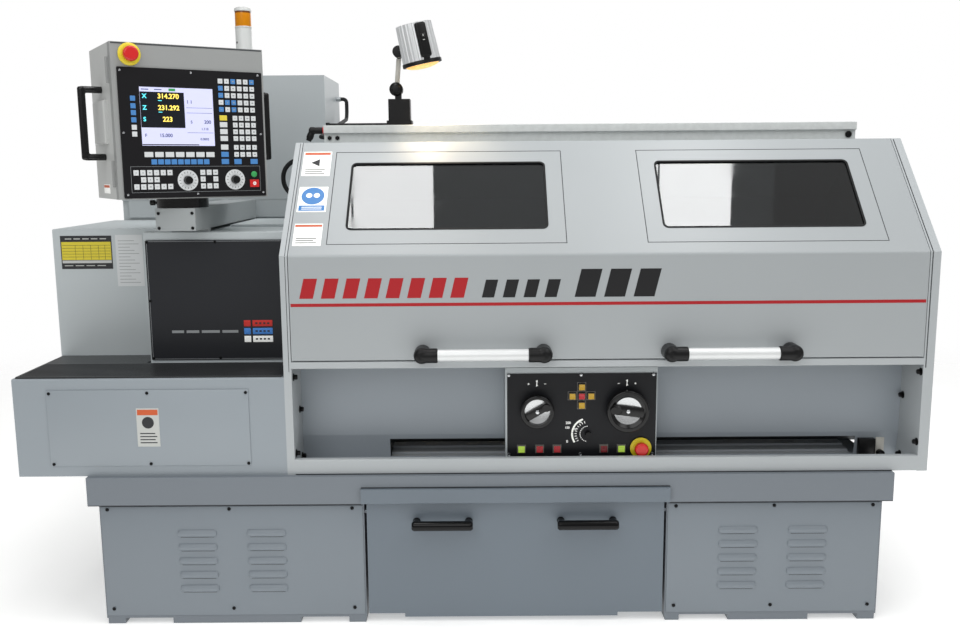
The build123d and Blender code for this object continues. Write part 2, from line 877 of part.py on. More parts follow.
# Guard frame: two hollow end panels, bottom and middle rails and the roof strip
guard_outline = (
    (front_y, deck_top),
    (front_y, guard_bend_z),
    (front_y + guard_slope, guard_top),
    (front_y + guard_roof_back, guard_top),
    (guard_back, guard_rear_z),
    (guard_back, deck_top),
)
left_inner = guard_left + left_end_width
right_inner = machine_right - right_end_width
hinge_y = front_y + guard_slope + hinge_back
hinge_z = guard_top - hinge_drop
with BuildPart() as guard_frame:
    for panel_x, panel_width in ((guard_left, left_end_width), (right_inner, right_end_width)):
        with BuildSketch(Plane.YZ.offset(panel_x)):
            with BuildLine():
                Polyline(*guard_outline, close=True)
            make_face()
        extrude(amount=panel_width)
        with BuildSketch(Plane.YZ.offset(panel_x + guard_skin)):
            with BuildLine():
                Polyline(*guard_outline, close=True)
            make_face()
            offset(amount=-guard_skin, kind=Kind.INTERSECTION, mode=Mode.REPLACE)
        extrude(amount=panel_width - 2 * guard_skin, mode=Mode.SUBTRACT)
        slab(
            (panel_x + guard_skin, panel_x + panel_width - guard_skin),
            (guard_back - 2 * guard_skin, guard_back),
            (deck_top + guard_skin, guard_rear_z - 2 * guard_skin),
            mode=Mode.SUBTRACT,
        )
    for low, high in ((deck_top, bottom_rail_top), middle_rail):
        with BuildSketch(Plane.YZ.offset(left_inner)):
            with BuildLine():
                FilletPolyline(
                    (front_y + rail_flange, low),
                    (front_y, low),
                    (front_y, high),
                    (front_y + rail_flange, high),
                    radius=4,
                )
                offset(amount=rail_sheet, side=Side.RIGHT)
            make_face()
        extrude(amount=right_inner - left_inner)
    slab(
        (left_inner, right_inner),
        (front_y + roof_span[0], front_y + roof_span[1]),
        (guard_top - roof_sheet, guard_top),
    )
    with BuildSketch(Plane.YZ.offset(guard_left)):
        with Locations((spindle_y, spindle_z)):
            Circle(spindle_hole_radius)
    extrude(amount=left_end_width, mode=Mode.SUBTRACT)
    for skin_x in (left_inner - guard_skin, right_inner):
        with BuildSketch(Plane.YZ.offset(skin_x)):
            with Locations((hinge_y, hinge_z)):
                Circle(hinge_pin_radius + running_fit)
        extrude(amount=guard_skin, mode=Mode.SUBTRACT)
guard_frame.part.label = "guard_frame"
export_step(guard_frame.part, "parts/guard_frame.step")

# Guard door: one folded sheet with cheeks, hinge pins, window cut-outs and frame seams
door_span = (left_inner + door_gap, right_inner - door_gap)
door_middle = middle(door_span)
slope_rise = guard_top - guard_bend_z
slope_normal = (0, -slope_rise, guard_slope)
slope_plane = Plane(origin=(0, front_y, guard_bend_z), x_dir=(1, 0, 0), z_dir=slope_normal)
window_xs = (door_middle - window_offset, door_middle + window_offset)
with BuildPart() as door_panel:
    with BuildSketch(Plane.YZ.offset(door_span[0])):
        with BuildLine():
            FilletPolyline(
                (front_y + door_return, door_bottom),
                (front_y, door_bottom),
                (front_y, guard_bend_z),
                (front_y + guard_slope, guard_top),
                (front_y + guard_slope + door_top_return, guard_top),
                radius=(door_bend / 3, door_bend, door_bend / 3),
            )
            offset(amount=door_sheet, side=Side.RIGHT)
        make_face()
    extrude(amount=width(door_span))
    for cheek_x in (door_span[0], door_span[1] - cheek_sheet):
        with BuildSketch(Plane.YZ.offset(cheek_x)):
            with BuildLine():
                FilletPolyline(
                    (front_y, door_bottom),
                    (front_y, guard_bend_z),
                    (front_y + guard_slope, guard_top),
                    radius=door_bend,
                )
                offset(amount=cheek_width, side=Side.RIGHT)
            make_face()
        extrude(amount=cheek_sheet)
    for pin_x in (door_span[0] + cheek_sheet - hinge_pin_length, door_span[1] - cheek_sheet):
        with BuildSketch(Plane.YZ.offset(pin_x)):
            with Locations((hinge_y, hinge_z)):
                Circle(hinge_pin_radius)
        extrude(amount=hinge_pin_length)
    for window_x in window_xs:
        with BuildSketch(slope_plane):
            with Locations((window_x, window_middle)):
                RectangleRounded(window_length, window_height, window_round)
        extrude(amount=-2 * door_sheet, mode=Mode.SUBTRACT)
        with BuildSketch(slope_plane):
            with Locations((window_x, window_frame_middle)):
                Rectangle(window_frame_length, window_frame_height)
                Rectangle(window_frame_length - 2 * seam_width, window_frame_height - 2 * seam_width, mode=Mode.SUBTRACT)
        extrude(amount=-seam_depth, mode=Mode.SUBTRACT)
door_panel.part.label = "door_panel"
export_step(door_panel.part, "parts/door_panel.step")

with BuildPart() as window_panes:
    for window_x in window_xs:
        with BuildSketch(slope_plane.offset(-door_sheet)):
            with Locations((window_x, window_middle)):
                RectangleRounded(
                    window_length + 2 * pane_overlap,
                    window_height + 2 * pane_overlap,
                    window_round,
                )
        extrude(amount=-pane_thickness)
window_panes.part.label = "window_panes"
export_step(window_panes.part, "parts/window_panes.step")

# Door handles: an aluminium tube between two moulded brackets
with BuildPart() as door_handles:
    for side in (-1, 1):
        handle_x = door_middle + handle_shift + side * handle_offset
        for end in (-1, 1):
            outer = handle_x + end * handle_length / 2
            with BuildSketch(Plane.XY.offset(handle_z - bracket_height / 2)):
                with BuildLine():
                    Polyline(
                        (outer, front_y),
                        (outer, front_y - tube_stand * 0.55),
                        (outer - end * bracket_length * 0.35, front_y - tube_stand - tube_radius - 4),
                        (outer - end * bracket_length, front_y - tube_stand - tube_radius - 4),
                        (outer - end * bracket_length, front_y - tube_stand + tube_radius + 2),
                        (outer - end * bracket_length * 0.62, front_y),
                        close=True,
                    )
                make_face()
                fillet(vertices().group_by(Axis.Y)[0], radius=9)
            extrude(amount=bracket_height)
        tube_start = handle_x - handle_length / 2 + bracket_length
        with BuildSketch(Plane.YZ.offset(tube_start)):
            with Locations((front_y - tube_stand, handle_z)):
                Circle(tube_radius)
                Circle(tube_radius - tube_wall, mode=Mode.SUBTRACT)
        extrude(amount=handle_length - 2 * bracket_length)
door_handles.part.label = "door_handles"
export_step(door_handles.part, "parts/door_handles.step")

# Inner chip panel with the long slot that the carriage's arm runs in
with BuildPart() as chip_panel:
    with BuildSketch(Plane.YZ.offset(left_inner)):
        with BuildLine():
            FilletPolyline(
                (chip_panel_y + kick_depth, deck_top),
                (chip_panel_y + kick_depth, slot_span_z[0]),
                (chip_panel_y, kick_top),
                (chip_panel_y, chip_top),
                (chip_panel_y + chip_fold, chip_top),
                radius=4,
            )
            offset(amount=chip_sheet, side=Side.RIGHT)
        make_face()
    extrude(amount=right_inner - left_inner)
    slot_y = (chip_panel_y - kick_depth, chip_panel_y + 3 * kick_depth)
    slab(slot_span_x, slot_y, slot_span_z, mode=Mode.SUBTRACT)
chip_panel.part.label = "chip_panel"
export_step(chip_panel.part, "parts/chip_panel.step")

# Steel way cover: a strip folded into low steps, lying on the deck behind the slot
with BuildPart() as way_cover:
    cover_start = chip_panel_y + kick_depth + chip_sheet
    step_points = []
    for step in range(way_steps):
        level = deck_top + way_sheet + step * way_step_rise
        step_points.append((cover_start + step * way_step_run, level))
        step_points.append((cover_start + (step + 1) * way_step_run, level))
    under = [(y, z - way_sheet) for y, z in step_points]
    with BuildSketch(Plane.YZ.offset(slot_span_x[0])):
        with BuildLine():
            Polyline(*step_points, *[(y + way_sheet, z) for y, z in reversed(under)], close=True)
        make_face()
    extrude(amount=width(slot_span_x))
way_cover.part.label = "way_cover"
export_step(way_cover.part, "parts/way_cover.step")

# Rear guard: roof and back of the chamber in one folded sheet
with BuildPart() as rear_guard:
    with BuildSketch(Plane.YZ.offset(left_inner)):
        with BuildLine():
            FilletPolyline(
                (front_y + roof_span[1], guard_top),
                (front_y + guard_roof_back, guard_top),
                (guard_back, guard_rear_z),
                (guard_back, deck_top),
                radius=8,
            )
            offset(amount=rear_sheet, side=Side.RIGHT)
        make_face()
    extrude(amount=right_inner - left_inner)
rear_guard.part.label = "rear_guard"
export_step(rear_guard.part, "parts/rear_guard.step")

# Beam over the door: a two-tier folded channel on the roof strip
with BuildPart() as top_beam:
    beam_back = beam_front + beam_depth
    with BuildSketch(Plane.YZ.offset(beam_span[0])):
        with BuildLine():
            FilletPolyline(
                (beam_front + beam_step, guard_top),
                (beam_front + beam_step, beam_step_z),
                (beam_front, beam_step_z),
                (beam_front, beam_top),
                (beam_back, beam_top),
                (beam_back, guard_top),
                radius=2,
            )
            offset(amount=beam_sheet, side=Side.RIGHT)
        make_face()
    extrude(amount=width(beam_span))
    for cap_x in (beam_span[0], beam_span[1] - beam_sheet):
        slab((cap_x, cap_x + beam_sheet), (beam_front + beam_step, beam_back), (guard_top, beam_top))
top_beam.part.label = "top_beam"
export_step(top_beam.part, "parts/top_beam.step")

# Saddle: H plate on the ways, apron casting in front of the bed, nut boss and panel arm
saddle_span = (carriage_x - saddle_half, carriage_x + saddle_half)
saddle_bottom = way_top + saddle_gap
saddle_top = way_top + saddle_height
apron_back = spindle_y - bed_half_width - 8
with BuildPart() as saddle:
    slab(saddle_span, (apron_back - apron_wall, spindle_y + bed_half_width), (saddle_bottom, saddle_top))
    slab(saddle_span, (apron_back - apron_wall, apron_back), (apron_bottom, saddle_bottom))
    with BuildSketch(Plane.YZ.offset(carriage_x - nut_length / 2)):
        with Locations((screw_y, screw_z)):
            Circle(nut_radius)
        with Locations(((screw_y + apron_back) / 2, screw_z)):
            Rectangle(apron_back - screw_y, 2 * nut_radius)
    extrude(amount=nut_length)
    with BuildSketch(Plane.YZ.offset(saddle_span[0])):
        with Locations((screw_y, screw_z)):
            Circle(screw_radius + slide_gap)
    extrude(amount=width(saddle_span), mode=Mode.SUBTRACT)
    slab(
        (carriage_x - arm_half, carriage_x + arm_half),
        (panel_housing_back, apron_back),
        arm_span_z,
    )
    with BuildSketch(Plane.YZ.offset(saddle_span[0])):
        for side in (-1, 1):
            with BuildLine():
                Polyline(
                    (spindle_y + side * rail_middle - prism_half - 1, saddle_bottom),
                    (spindle_y + side * rail_middle, way_top + prism_height + 1),
                    (spindle_y + side * rail_middle + prism_half + 1, saddle_bottom),
                    close=True,
                )
            make_face()
    extrude(amount=width(saddle_span), mode=Mode.SUBTRACT)
    with BuildSketch(Plane.XZ.offset(-(spindle_y + bed_half_width))):
        with BuildLine():
            Polyline(
                (carriage_x - dovetail_half + dovetail_slant, saddle_top),
                (carriage_x - dovetail_half, saddle_top + dovetail_height),
                (carriage_x + dovetail_half, saddle_top + dovetail_height),
                (carriage_x + dovetail_half - dovetail_slant, saddle_top),
                close=True,
            )
        make_face()
    extrude(amount=2 * bed_half_width)
saddle.part.label = "saddle"
export_step(saddle.part, "parts/saddle.step")

# Cross slide on the saddle's dovetail
cross_bottom = saddle_top + slide_gap
cross_top = cross_bottom + cross_height
with BuildPart() as cross_slide:
    slab(
        (carriage_x - cross_half, carriage_x + cross_half),
        (cross_middle - cross_length / 2, cross_middle + cross_length / 2),
        (cross_bottom, cross_top),
    )
    groove = dovetail_half + slide_gap
    with BuildSketch(Plane.XZ.offset(-(cross_middle + cross_length / 2))):
        with BuildLine():
            Polyline(
                (carriage_x - groove + dovetail_slant, cross_bottom),
                (carriage_x - groove, cross_bottom + dovetail_height),
                (carriage_x + groove, cross_bottom + dovetail_height),
                (carriage_x + groove - dovetail_slant, cross_bottom),
                close=True,
            )
        make_face()
    extrude(amount=cross_length, mode=Mode.SUBTRACT)
cross_slide.part.label = "cross_slide"
export_step(cross_slide.part, "parts/cross_slide.step")

# Four-way tool post with its clamp lever
post_bottom = cross_top + slide_gap
with BuildPart() as tool_post:
    with BuildSketch(Plane.XY.offset(post_bottom)):
        with Locations((carriage_x, post_y)):
            Rectangle(2 * post_half, 2 * post_half)
    extrude(amount=post_riser + post_height)
    chamfer(tool_post.edges().filter_by(Axis.Z), length=6)
    with BuildSketch(Plane.XY.offset(post_slot_z)):
        with Locations((carriage_x, post_y)):
            Rectangle(3 * post_half, 3 * post_half)
            Rectangle(2 * post_neck, 2 * post_neck, mode=Mode.SUBTRACT)
    extrude(amount=post_slot, mode=Mode.SUBTRACT)
    post_top = post_bottom + post_riser + post_height
    with BuildSketch(Plane.XY.offset(post_top)):
        with Locations((carriage_x, post_y)):
            Circle(post_neck)
    extrude(amount=26)
    with BuildSketch(Plane.XZ.offset(-post_y)):
        with Locations((carriage_x, post_top + 14)):
            Circle(lever_radius)
    extrude(amount=lever_length)
    with Locations((carriage_x, post_y - lever_length, post_top + 14)):
        Sphere(lever_grip)
tool_post.part.label = "tool_post"
export_step(tool_post.part, "parts/tool_post.step")

# Carriage panel: sheet housing and black front plate, cut for every control
jog_places = [
    (jog_centre[0] + dx * jog_pitch, jog_centre[1] + dz * jog_pitch)
    for dx, dz in ((0, 0), (0, 1), (0, -1), (-1, 0), (1, 0))
]
button_places = [(x, button_z) for x in button_xs]
wheel_places = [(wheel[0], wheel_axis_z) for wheel in (left_wheel, right_wheel)]


def panel_holes(depth):
    """Round holes for the shanks of all controls, from the black plate's front face inwards."""
    with BuildPart() as holes:
        with BuildSketch(Plane.XZ.offset(-(panel_housing_front - black_plate_sheet))):
            with Locations(*jog_places):
                Circle(shank_radius + slide_gap)
            with Locations(*button_places):
                Circle(shank_radius)
            with Locations(override_centre):
                Circle(shank_radius / 2 + slide_gap)
            with Locations(stop_centre):
                Circle(stop_neck_radius + slide_gap)
            with Locations(*wheel_places):
                Circle(wheel_shaft + running_fit)
        extrude(amount=-depth)
    return holes.part


housing_holes = panel_holes(black_plate_sheet + panel_sheet)
plate_holes = panel_holes(black_plate_sheet)
with BuildPart() as apron_housing:
    slab(panel_housing_span, (panel_housing_front, panel_housing_back), panel_housing_z)
    slab(
        (panel_housing_span[0] + panel_sheet, panel_housing_span[1] - panel_sheet),
        (panel_housing_front + panel_sheet, panel_housing_back - panel_sheet),
        (panel_housing_z[0], panel_housing_z[1] - panel_sheet),
        mode=Mode.SUBTRACT,
    )
    add(housing_holes, mode=Mode.SUBTRACT)
apron_housing.part.label = "apron_housing"
export_step(apron_housing.part, "parts/apron_housing.step")

with BuildPart() as apron_plate:
    slab(black_plate_span, (panel_housing_front - black_plate_sheet, panel_housing_front), black_plate_z)
    with BuildSketch(Plane.XZ.offset(-(panel_housing_front - black_plate_sheet))):
        with Locations(stop_centre):
            Circle(stop_collar_radius)
    extrude(amount=stop_collar_height)
    with BuildSketch(Plane.XZ.offset(-(panel_housing_front - black_plate_sheet - stop_collar_height))):
        with Locations(stop_centre):
            Circle(stop_neck_radius + slide_gap)
    extrude(amount=-stop_collar_height, mode=Mode.SUBTRACT)
    add(plate_holes, mode=Mode.SUBTRACT)
apron_plate.part.label = "apron_plate"
export_step(apron_plate.part, "parts/apron_plate.step")

plate_face = panel_housing_front - black_plate_sheet


def square_button(place, size, stand, gap):
    """Square cap on a round shank, standing in front of the black plate."""
    with BuildPart() as button:
        with BuildSketch(Plane.XZ.offset(-(plate_face - gap))):
            with Locations(place):
                RectangleRounded(size, size, 2)
        extrude(amount=stand)
        with BuildSketch(Plane.XZ.offset(-(plate_face - gap))):
            with Locations(place):
                Circle(shank_radius)
        extrude(amount=-shank_depth)
    return button.part


jog_shapes = [square_button(place, jog_size, jog_stand, button_travel + slide_gap) for place in jog_places]
for name, shape in zip(("centre", "up", "down", "left", "right"), jog_shapes):
    with BuildPart() as jog_button:
        add(shape)
    jog_button.part.label = f"jog_{name}"
    export_step(jog_button.part, f"parts/jog_{name}.step")

button_shapes = [square_button(place, button_size, button_stand, 0) for place in button_places]
with BuildPart() as push_buttons:
    add(button_shapes)
push_buttons.part.label = "push_buttons"
export_step(push_buttons.part, "parts/push_buttons.step")


def stop_head(face_plane, collar):
    """Mushroom head and neck of an emergency stop, in front of its collar."""
    with BuildPart() as stop:
        with BuildSketch(face_plane.offset(-shank_depth / 2)):
            Circle(stop_neck_radius)
        extrude(amount=shank_depth / 2 + collar + stop_neck_height)
        with BuildSketch(face_plane.offset(collar + stop_neck_height - button_travel)):
            Circle(stop_head_radius)
        extrude(amount=stop_head_height)
        crown = Axis(face_plane.origin, face_plane.z_dir)
        fillet(edges().filter_by(GeomType.CIRCLE).sort_by(crown)[-1], radius=6)
    return stop.part


stop_plane = Plane(origin=(stop_centre[0], plate_face, stop_centre[1]), x_dir=(1, 0, 0), z_dir=(0, -1, 0))
apron_stop_shape = stop_head(stop_plane, stop_collar_height)
with BuildPart() as apron_stop:
    add(apron_stop_shape)
apron_stop.part.label = "apron_stop"
export_step(apron_stop.part, "parts/apron_stop.step")

with BuildPart() as override_knob:
    with BuildSketch(Plane.XZ.offset(-(plate_face - slide_gap))):
        with Locations(override_centre):
            Circle(override_radius)
    extrude(amount=override_height, taper=4)
    with BuildSketch(Plane.XZ.offset(-(plate_face - slide_gap))):
        with Locations(override_centre):
            Circle(shank_radius / 2)
    extrude(amount=-shank_depth)
    slab(
        (override_centre[0] - 1, override_centre[0] + 1),
        (plate_face - slide_gap - override_height, plate_face - slide_gap - override_height + 1),
        (override_centre[1], override_centre[1] + override_radius),
        mode=Mode.SUBTRACT,
    )
override_knob.part.label = "override_knob"
export_step(override_knob.part, "parts/override_knob.step")

# Electronic handwheels: rim, dished disc, cross bar and fold-in crank grip
for side, (wheel_x, wheel_radius), crank_angle in (("left", left_wheel, 30), ("right", right_wheel, 172)):
    with BuildPart() as handwheel:
        wheel_origin = (wheel_x, plate_face - wheel_stand, wheel_axis_z)
        wheel_plane = Plane(origin=wheel_origin, x_dir=(1, 0, 0), z_dir=(0, -1, 0))
        with BuildSketch(wheel_plane):
            Circle(wheel_radius)
        extrude(amount=wheel_depth)
        fillet(handwheel.edges().filter_by(GeomType.CIRCLE), radius=5)
        with BuildSketch(wheel_plane.offset(wheel_depth)):
            Circle(wheel_radius - wheel_rim)
        extrude(amount=-wheel_depth * 0.6, mode=Mode.SUBTRACT)
        bar_length = 2 * (wheel_radius - wheel_rim)
        with BuildSketch(wheel_plane.offset(wheel_depth * 0.4)):
            with Locations(Location((0, 0), crank_angle)):
                Rectangle(bar_length + wheel_rim, crank_width)
        extrude(amount=wheel_depth * 0.35)
        grip_out = wheel_radius - wheel_rim - crank_grip_radius + 2
        crank = math.radians(crank_angle)
        with BuildSketch(wheel_plane.offset(wheel_depth * 0.4)):
            with Locations((grip_out * math.cos(crank), grip_out * math.sin(crank))):
                Circle(crank_grip_radius)
        extrude(amount=wheel_depth * 0.35 + crank_grip_length)
        with BuildSketch(wheel_plane):
            Circle(wheel_shaft)
        extrude(amount=-wheel_stand - shank_depth)
    handwheel.part.label = f"handwheel_{side}"
    export_step(handwheel.part, f"parts/handwheel_{side}.step")

# Tailstock: base on the ways, upright and barrel in one casting
tail_front = min(tail_span[0], barrel_span[0])
with BuildPart() as tailstock:
    with BuildSketch(Plane.YZ.offset(tail_span[0])):
        base_low = way_top + saddle_gap
        with BuildLine():
            Polyline(
                (spindle_y - tail_half_width, base_low),
                (spindle_y + tail_half_width, base_low),
                (spindle_y + tail_half_width, base_low + tail_base_height),
                (spindle_y + barrel_radius, spindle_z),
                (spindle_y - barrel_radius, spindle_z),
                (spindle_y - tail_half_width, base_low + tail_base_height),
                close=True,
            )
        make_face()
        for side in (-1, 1):
            with BuildLine():
                Polyline(
                    (spindle_y + side * rail_middle - prism_half - 1, base_low),
                    (spindle_y + side * rail_middle, way_top + prism_height + 1),
                    (spindle_y + side * rail_middle + prism_half + 1, base_low),
                    close=True,
                )
            make_face(mode=Mode.SUBTRACT)
    extrude(amount=width(tail_span))
    with BuildSketch(Plane.YZ.offset(barrel_span[0])):
        with Locations((spindle_y, spindle_z)):
            Circle(barrel_radius)
    extrude(amount=width(barrel_span))
    with BuildSketch(Plane.YZ.offset(tail_front)):
        with Locations((spindle_y, spindle_z)):
            Circle(quill_radius + running_fit)
    extrude(amount=quill_span[1] + quill_rear_room - tail_front, mode=Mode.SUBTRACT)
    with BuildSketch(Plane.YZ.offset(tail_front)):
        with Locations((spindle_y, spindle_z)):
            Circle(wheel_shaft + running_fit)
    extrude(amount=tail_wheel_x - tail_front, mode=Mode.SUBTRACT)
tailstock.part.label = "tailstock"
export_step(tailstock.part, "parts/tailstock.step")

with BuildPart() as quill:
    with BuildSketch(Plane.XY.offset(spindle_z)):
        with BuildLine():
            Polyline(
                (quill_span[0] - centre_length, spindle_y),
                (quill_span[0], spindle_y + quill_radius * 0.7),
                (quill_span[0], spindle_y + quill_radius),
                (quill_span[1], spindle_y + quill_radius),
                (quill_span[1], spindle_y),
                close=True,
            )
        make_face()
    revolve(axis=Axis((0, spindle_y, spindle_z), (1, 0, 0)))
quill.part.label = "quill"
export_step(quill.part, "parts/quill.step")

# Tailstock handwheel: round rim, spokes, hub and crank grip
with BuildPart() as tail_wheel:
    rim_radius = tail_wheel_width / 2
    wheel_middle = tail_wheel_x + rim_radius
    tail_plane = Plane(origin=(wheel_middle, spindle_y, spindle_z), x_dir=(0, 1, 0), z_dir=(1, 0, 0))
    with Locations(tail_plane.location):
        Torus(tail_wheel_radius - rim_radius, rim_radius)
    with BuildSketch(tail_plane.offset(-rim_radius)):
        Circle(tail_hub_radius)
    extrude(amount=tail_wheel_width)
    for spoke in range(tail_spokes):
        with BuildSketch(tail_plane.offset(-rim_radius / 2)):
            with Locations(Location((0, 0), spoke * 360 / tail_spokes)):
                with Locations(((tail_wheel_radius - rim_radius) / 2, 0)):
                    Rectangle(tail_wheel_radius - rim_radius, tail_wheel_width)
        extrude(amount=rim_radius)
    with BuildSketch(tail_plane):
        Circle(wheel_shaft)
    extrude(amount=-(wheel_middle - quill_span[1] - 8))
tail_wheel.part.label = "tail_wheel"
export_step(tail_wheel.part, "parts/tail_wheel.step")

# Electrical cabinet: folded shell with a rear rim and the cable gland on its side
with BuildPart() as cabinet:
    slab(cabinet_span, (cabinet_front, cabinet_back), cabinet_span_z)
    slab(
        cabinet_span,
        (cabinet_front, cabinet_front + cabinet_step),
        (cabinet_span_z[0], cabinet_step_z),
        mode=Mode.SUBTRACT,
    )
    slab(
        (cabinet_span[0] + cabinet_sheet, cabinet_span[1] - cabinet_sheet),
        (cabinet_front + cabinet_step + cabinet_sheet, cabinet_back - cabinet_sheet),
        (cabinet_span_z[0] + cabinet_sheet, cabinet_span_z[1] - cabinet_sheet),
        mode=Mode.SUBTRACT,
    )
    slab(
        (cabinet_span[0] + cabinet_rim, cabinet_span[1] - cabinet_rim),
        (cabinet_back - cabinet_sheet, cabinet_back),
        (cabinet_span_z[0] + cabinet_rim, cabinet_span_z[1] - cabinet_rim),
        mode=Mode.SUBTRACT,
    )
    for rail_low in cabinet_rail_lows:
        slab(
            (cabinet_span[0] + cabinet_rim, cabinet_span[1] - cabinet_rim),
            (cabinet_front, cabinet_front + cabinet_step),
            (rail_low, rail_low + cabinet_rail_height),
        )
    with BuildSketch(Plane.YZ.offset(cabinet_span[1])):
        with Locations((gland_y, gland_z)):
            RegularPolygon(gland_radius, 6)
    extrude(amount=gland_length)
cabinet.part.label = "cabinet"
export_step(cabinet.part, "parts/cabinet.step")

with BuildPart() as cabinet_door:
    door_y = (cabinet_back + slide_gap, cabinet_back + slide_gap + cabinet_door_depth)
    door_x = (cabinet_span[0] + cabinet_door_gap, cabinet_span[1] - cabinet_door_gap)
    door_z = (cabinet_span_z[0] + cabinet_door_gap, cabinet_span_z[1] - cabinet_door_gap)
    slab(door_x, door_y, door_z)
    slab(
        (door_x[0] + cabinet_door_sheet, door_x[1] - cabinet_door_sheet),
        (door_y[0], door_y[1] - cabinet_door_sheet),
        (door_z[0] + cabinet_door_sheet, door_z[1] - cabinet_door_sheet),
        mode=Mode.SUBTRACT,
    )
    switch_origin = (switch_place[0], door_y[1], switch_place[1])
    switch_face = Plane(origin=switch_origin, x_dir=(-1, 0, 0), z_dir=(0, 1, 0))
    with BuildSketch(switch_face):
        RectangleRounded(switch_plate, switch_plate, 4)
    extrude(amount=switch_plate_sheet)
    with BuildSketch(switch_face):
        Circle(switch_radius)
    extrude(amount=switch_plate_sheet + switch_height)
    with BuildSketch(switch_face):
        Rectangle(switch_grip, 2 * switch_radius - 4)
    extrude(amount=switch_plate_sheet + switch_height + switch_grip_height)
cabinet_door.part.label = "cabinet_door"
export_step(cabinet_door.part, "parts/cabinet_door.step")

# Signal lamp
beacon_axis = Axis((*beacon_xy, 0), (0, 0, 1))
with BuildPart() as beacon_body:
    with BuildSketch(Plane.XZ.offset(-beacon_xy[1])):
        with BuildLine():
            Polyline(
                (beacon_xy[0], cabinet_span_z[1]),
                (beacon_xy[0] + beacon_radius + 5, cabinet_span_z[1]),
                (beacon_xy[0] + beacon_radius + 5, cabinet_span_z[1] + 6),
                (beacon_xy[0] + beacon_radius, cabinet_span_z[1] + 8),
                (beacon_xy[0] + beacon_radius, beacon_body_top),
                (beacon_xy[0], beacon_body_top),
                close=True,
            )
        make_face()
    revolve(axis=beacon_axis)
beacon_body.part.label = "beacon_body"
export_step(beacon_body.part, "parts/beacon_body.step")

with BuildPart() as beacon_lens:
    with BuildSketch(Plane.XZ.offset(-beacon_xy[1])):
        with BuildLine():
            Polyline(
                (beacon_xy[0], beacon_body_top),
                (beacon_xy[0] + beacon_radius - 1, beacon_body_top),
                (beacon_xy[0] + beacon_radius - 1, beacon_lens_top),
                (beacon_xy[0] + beacon_radius + 1, beacon_lens_top),
                (beacon_xy[0] + beacon_radius + 1, beacon_cap_top - 5),
                (beacon_xy[0] + beacon_radius - 6, beacon_cap_top),
                (beacon_xy[0], beacon_cap_top),
                close=True,
            )
        make_face()
    revolve(axis=beacon_axis)
beacon_lens.part.label = "beacon_lens"
export_step(beacon_lens.part, "parts/beacon_lens.step")

# Console arm: box beam on pads, with its end plate
with BuildPart() as console_arm:
    slab(arm_span_x, (arm_front, housing_back), arm_box_z)
    slab(
        (arm_span_x[0] + arm_sheet, arm_span_x[1] - arm_sheet),
        (arm_front + arm_sheet, housing_back - arm_sheet),
        (arm_box_z[0] + arm_sheet, arm_box_z[1] - arm_sheet),
        mode=Mode.SUBTRACT,
    )
    slab(
        (arm_span_x[0] + 4 * arm_sheet, arm_span_x[1] - 4 * arm_sheet),
        (headstock_front + 3 * arm_pad, housing_back - 3 * arm_pad),
        (arm_box_z[0], arm_box_z[0] + arm_sheet),
        mode=Mode.SUBTRACT,
    )
    for pad_y in (headstock_front + arm_pad, housing_back - 3 * arm_pad):
        slab(arm_span_x, (pad_y, pad_y + 2 * arm_pad), (headstock_top, arm_box_z[0]))
console_arm.part.label = "console_arm"
export_step(console_arm.part, "parts/console_arm.step")

lock_x = ring_centre[0] - ring_radius - lock_knob_reach
lock_plane = Plane(
    origin=(lock_x, ring_centre[1], (arm_box_z[1] + ring_top) / 2),
    x_dir=(0, 1, 0),
    z_dir=(1, 0, 0),
)
with BuildPart() as lock_knob:
    with BuildSketch(lock_plane):
        Circle(lock_knob_radius)
    extrude(amount=lock_knob_length)
    fillet(lock_knob.edges().filter_by(GeomType.CIRCLE), radius=2)
    with BuildSketch(lock_plane):
        Circle(lock_screw_radius)
    extrude(amount=2 * lock_knob_reach)
lock_knob.part.label = "lock_knob"
export_step(lock_knob.part, "parts/lock_knob.step")

with BuildPart() as slewing_ring:
    ring_plane = Plane(origin=(*ring_centre, arm_box_z[1]), z_dir=(0, 0, 1))
    with BuildSketch(ring_plane):
        Circle(ring_radius)
        Circle(ring_bore + running_fit, mode=Mode.SUBTRACT)
    extrude(amount=ring_top - arm_box_z[1])
    with BuildSketch(lock_plane):
        Circle(lock_screw_radius + running_fit)
    extrude(amount=2 * lock_knob_reach + slide_gap, mode=Mode.SUBTRACT)
slewing_ring.part.label = "slewing_ring"
export_step(slewing_ring.part, "parts/slewing_ring.step")

# Console: its own plane has local X along the front, local Y into the box, local Z up
turn = math.radians(console_turn)
console_plane = Plane(
    origin=(*console_corner, console_bottom),
    x_dir=(math.cos(turn), math.sin(turn), 0),
    z_dir=(0, 0, 1),
)
console_face = Plane(
    origin=(*console_corner, console_bottom),
    x_dir=(math.cos(turn), math.sin(turn), 0),
    z_dir=(math.sin(turn), -math.cos(turn), 0),
)
plate_front_plane = console_face.offset(console_plate_sheet)


def console_rectangle(x_span, y_span):
    """Rectangle in the console's plan between two pairs of coordinates."""
    with Locations((middle(x_span), middle(y_span))):
        Rectangle(width(x_span), width(y_span))


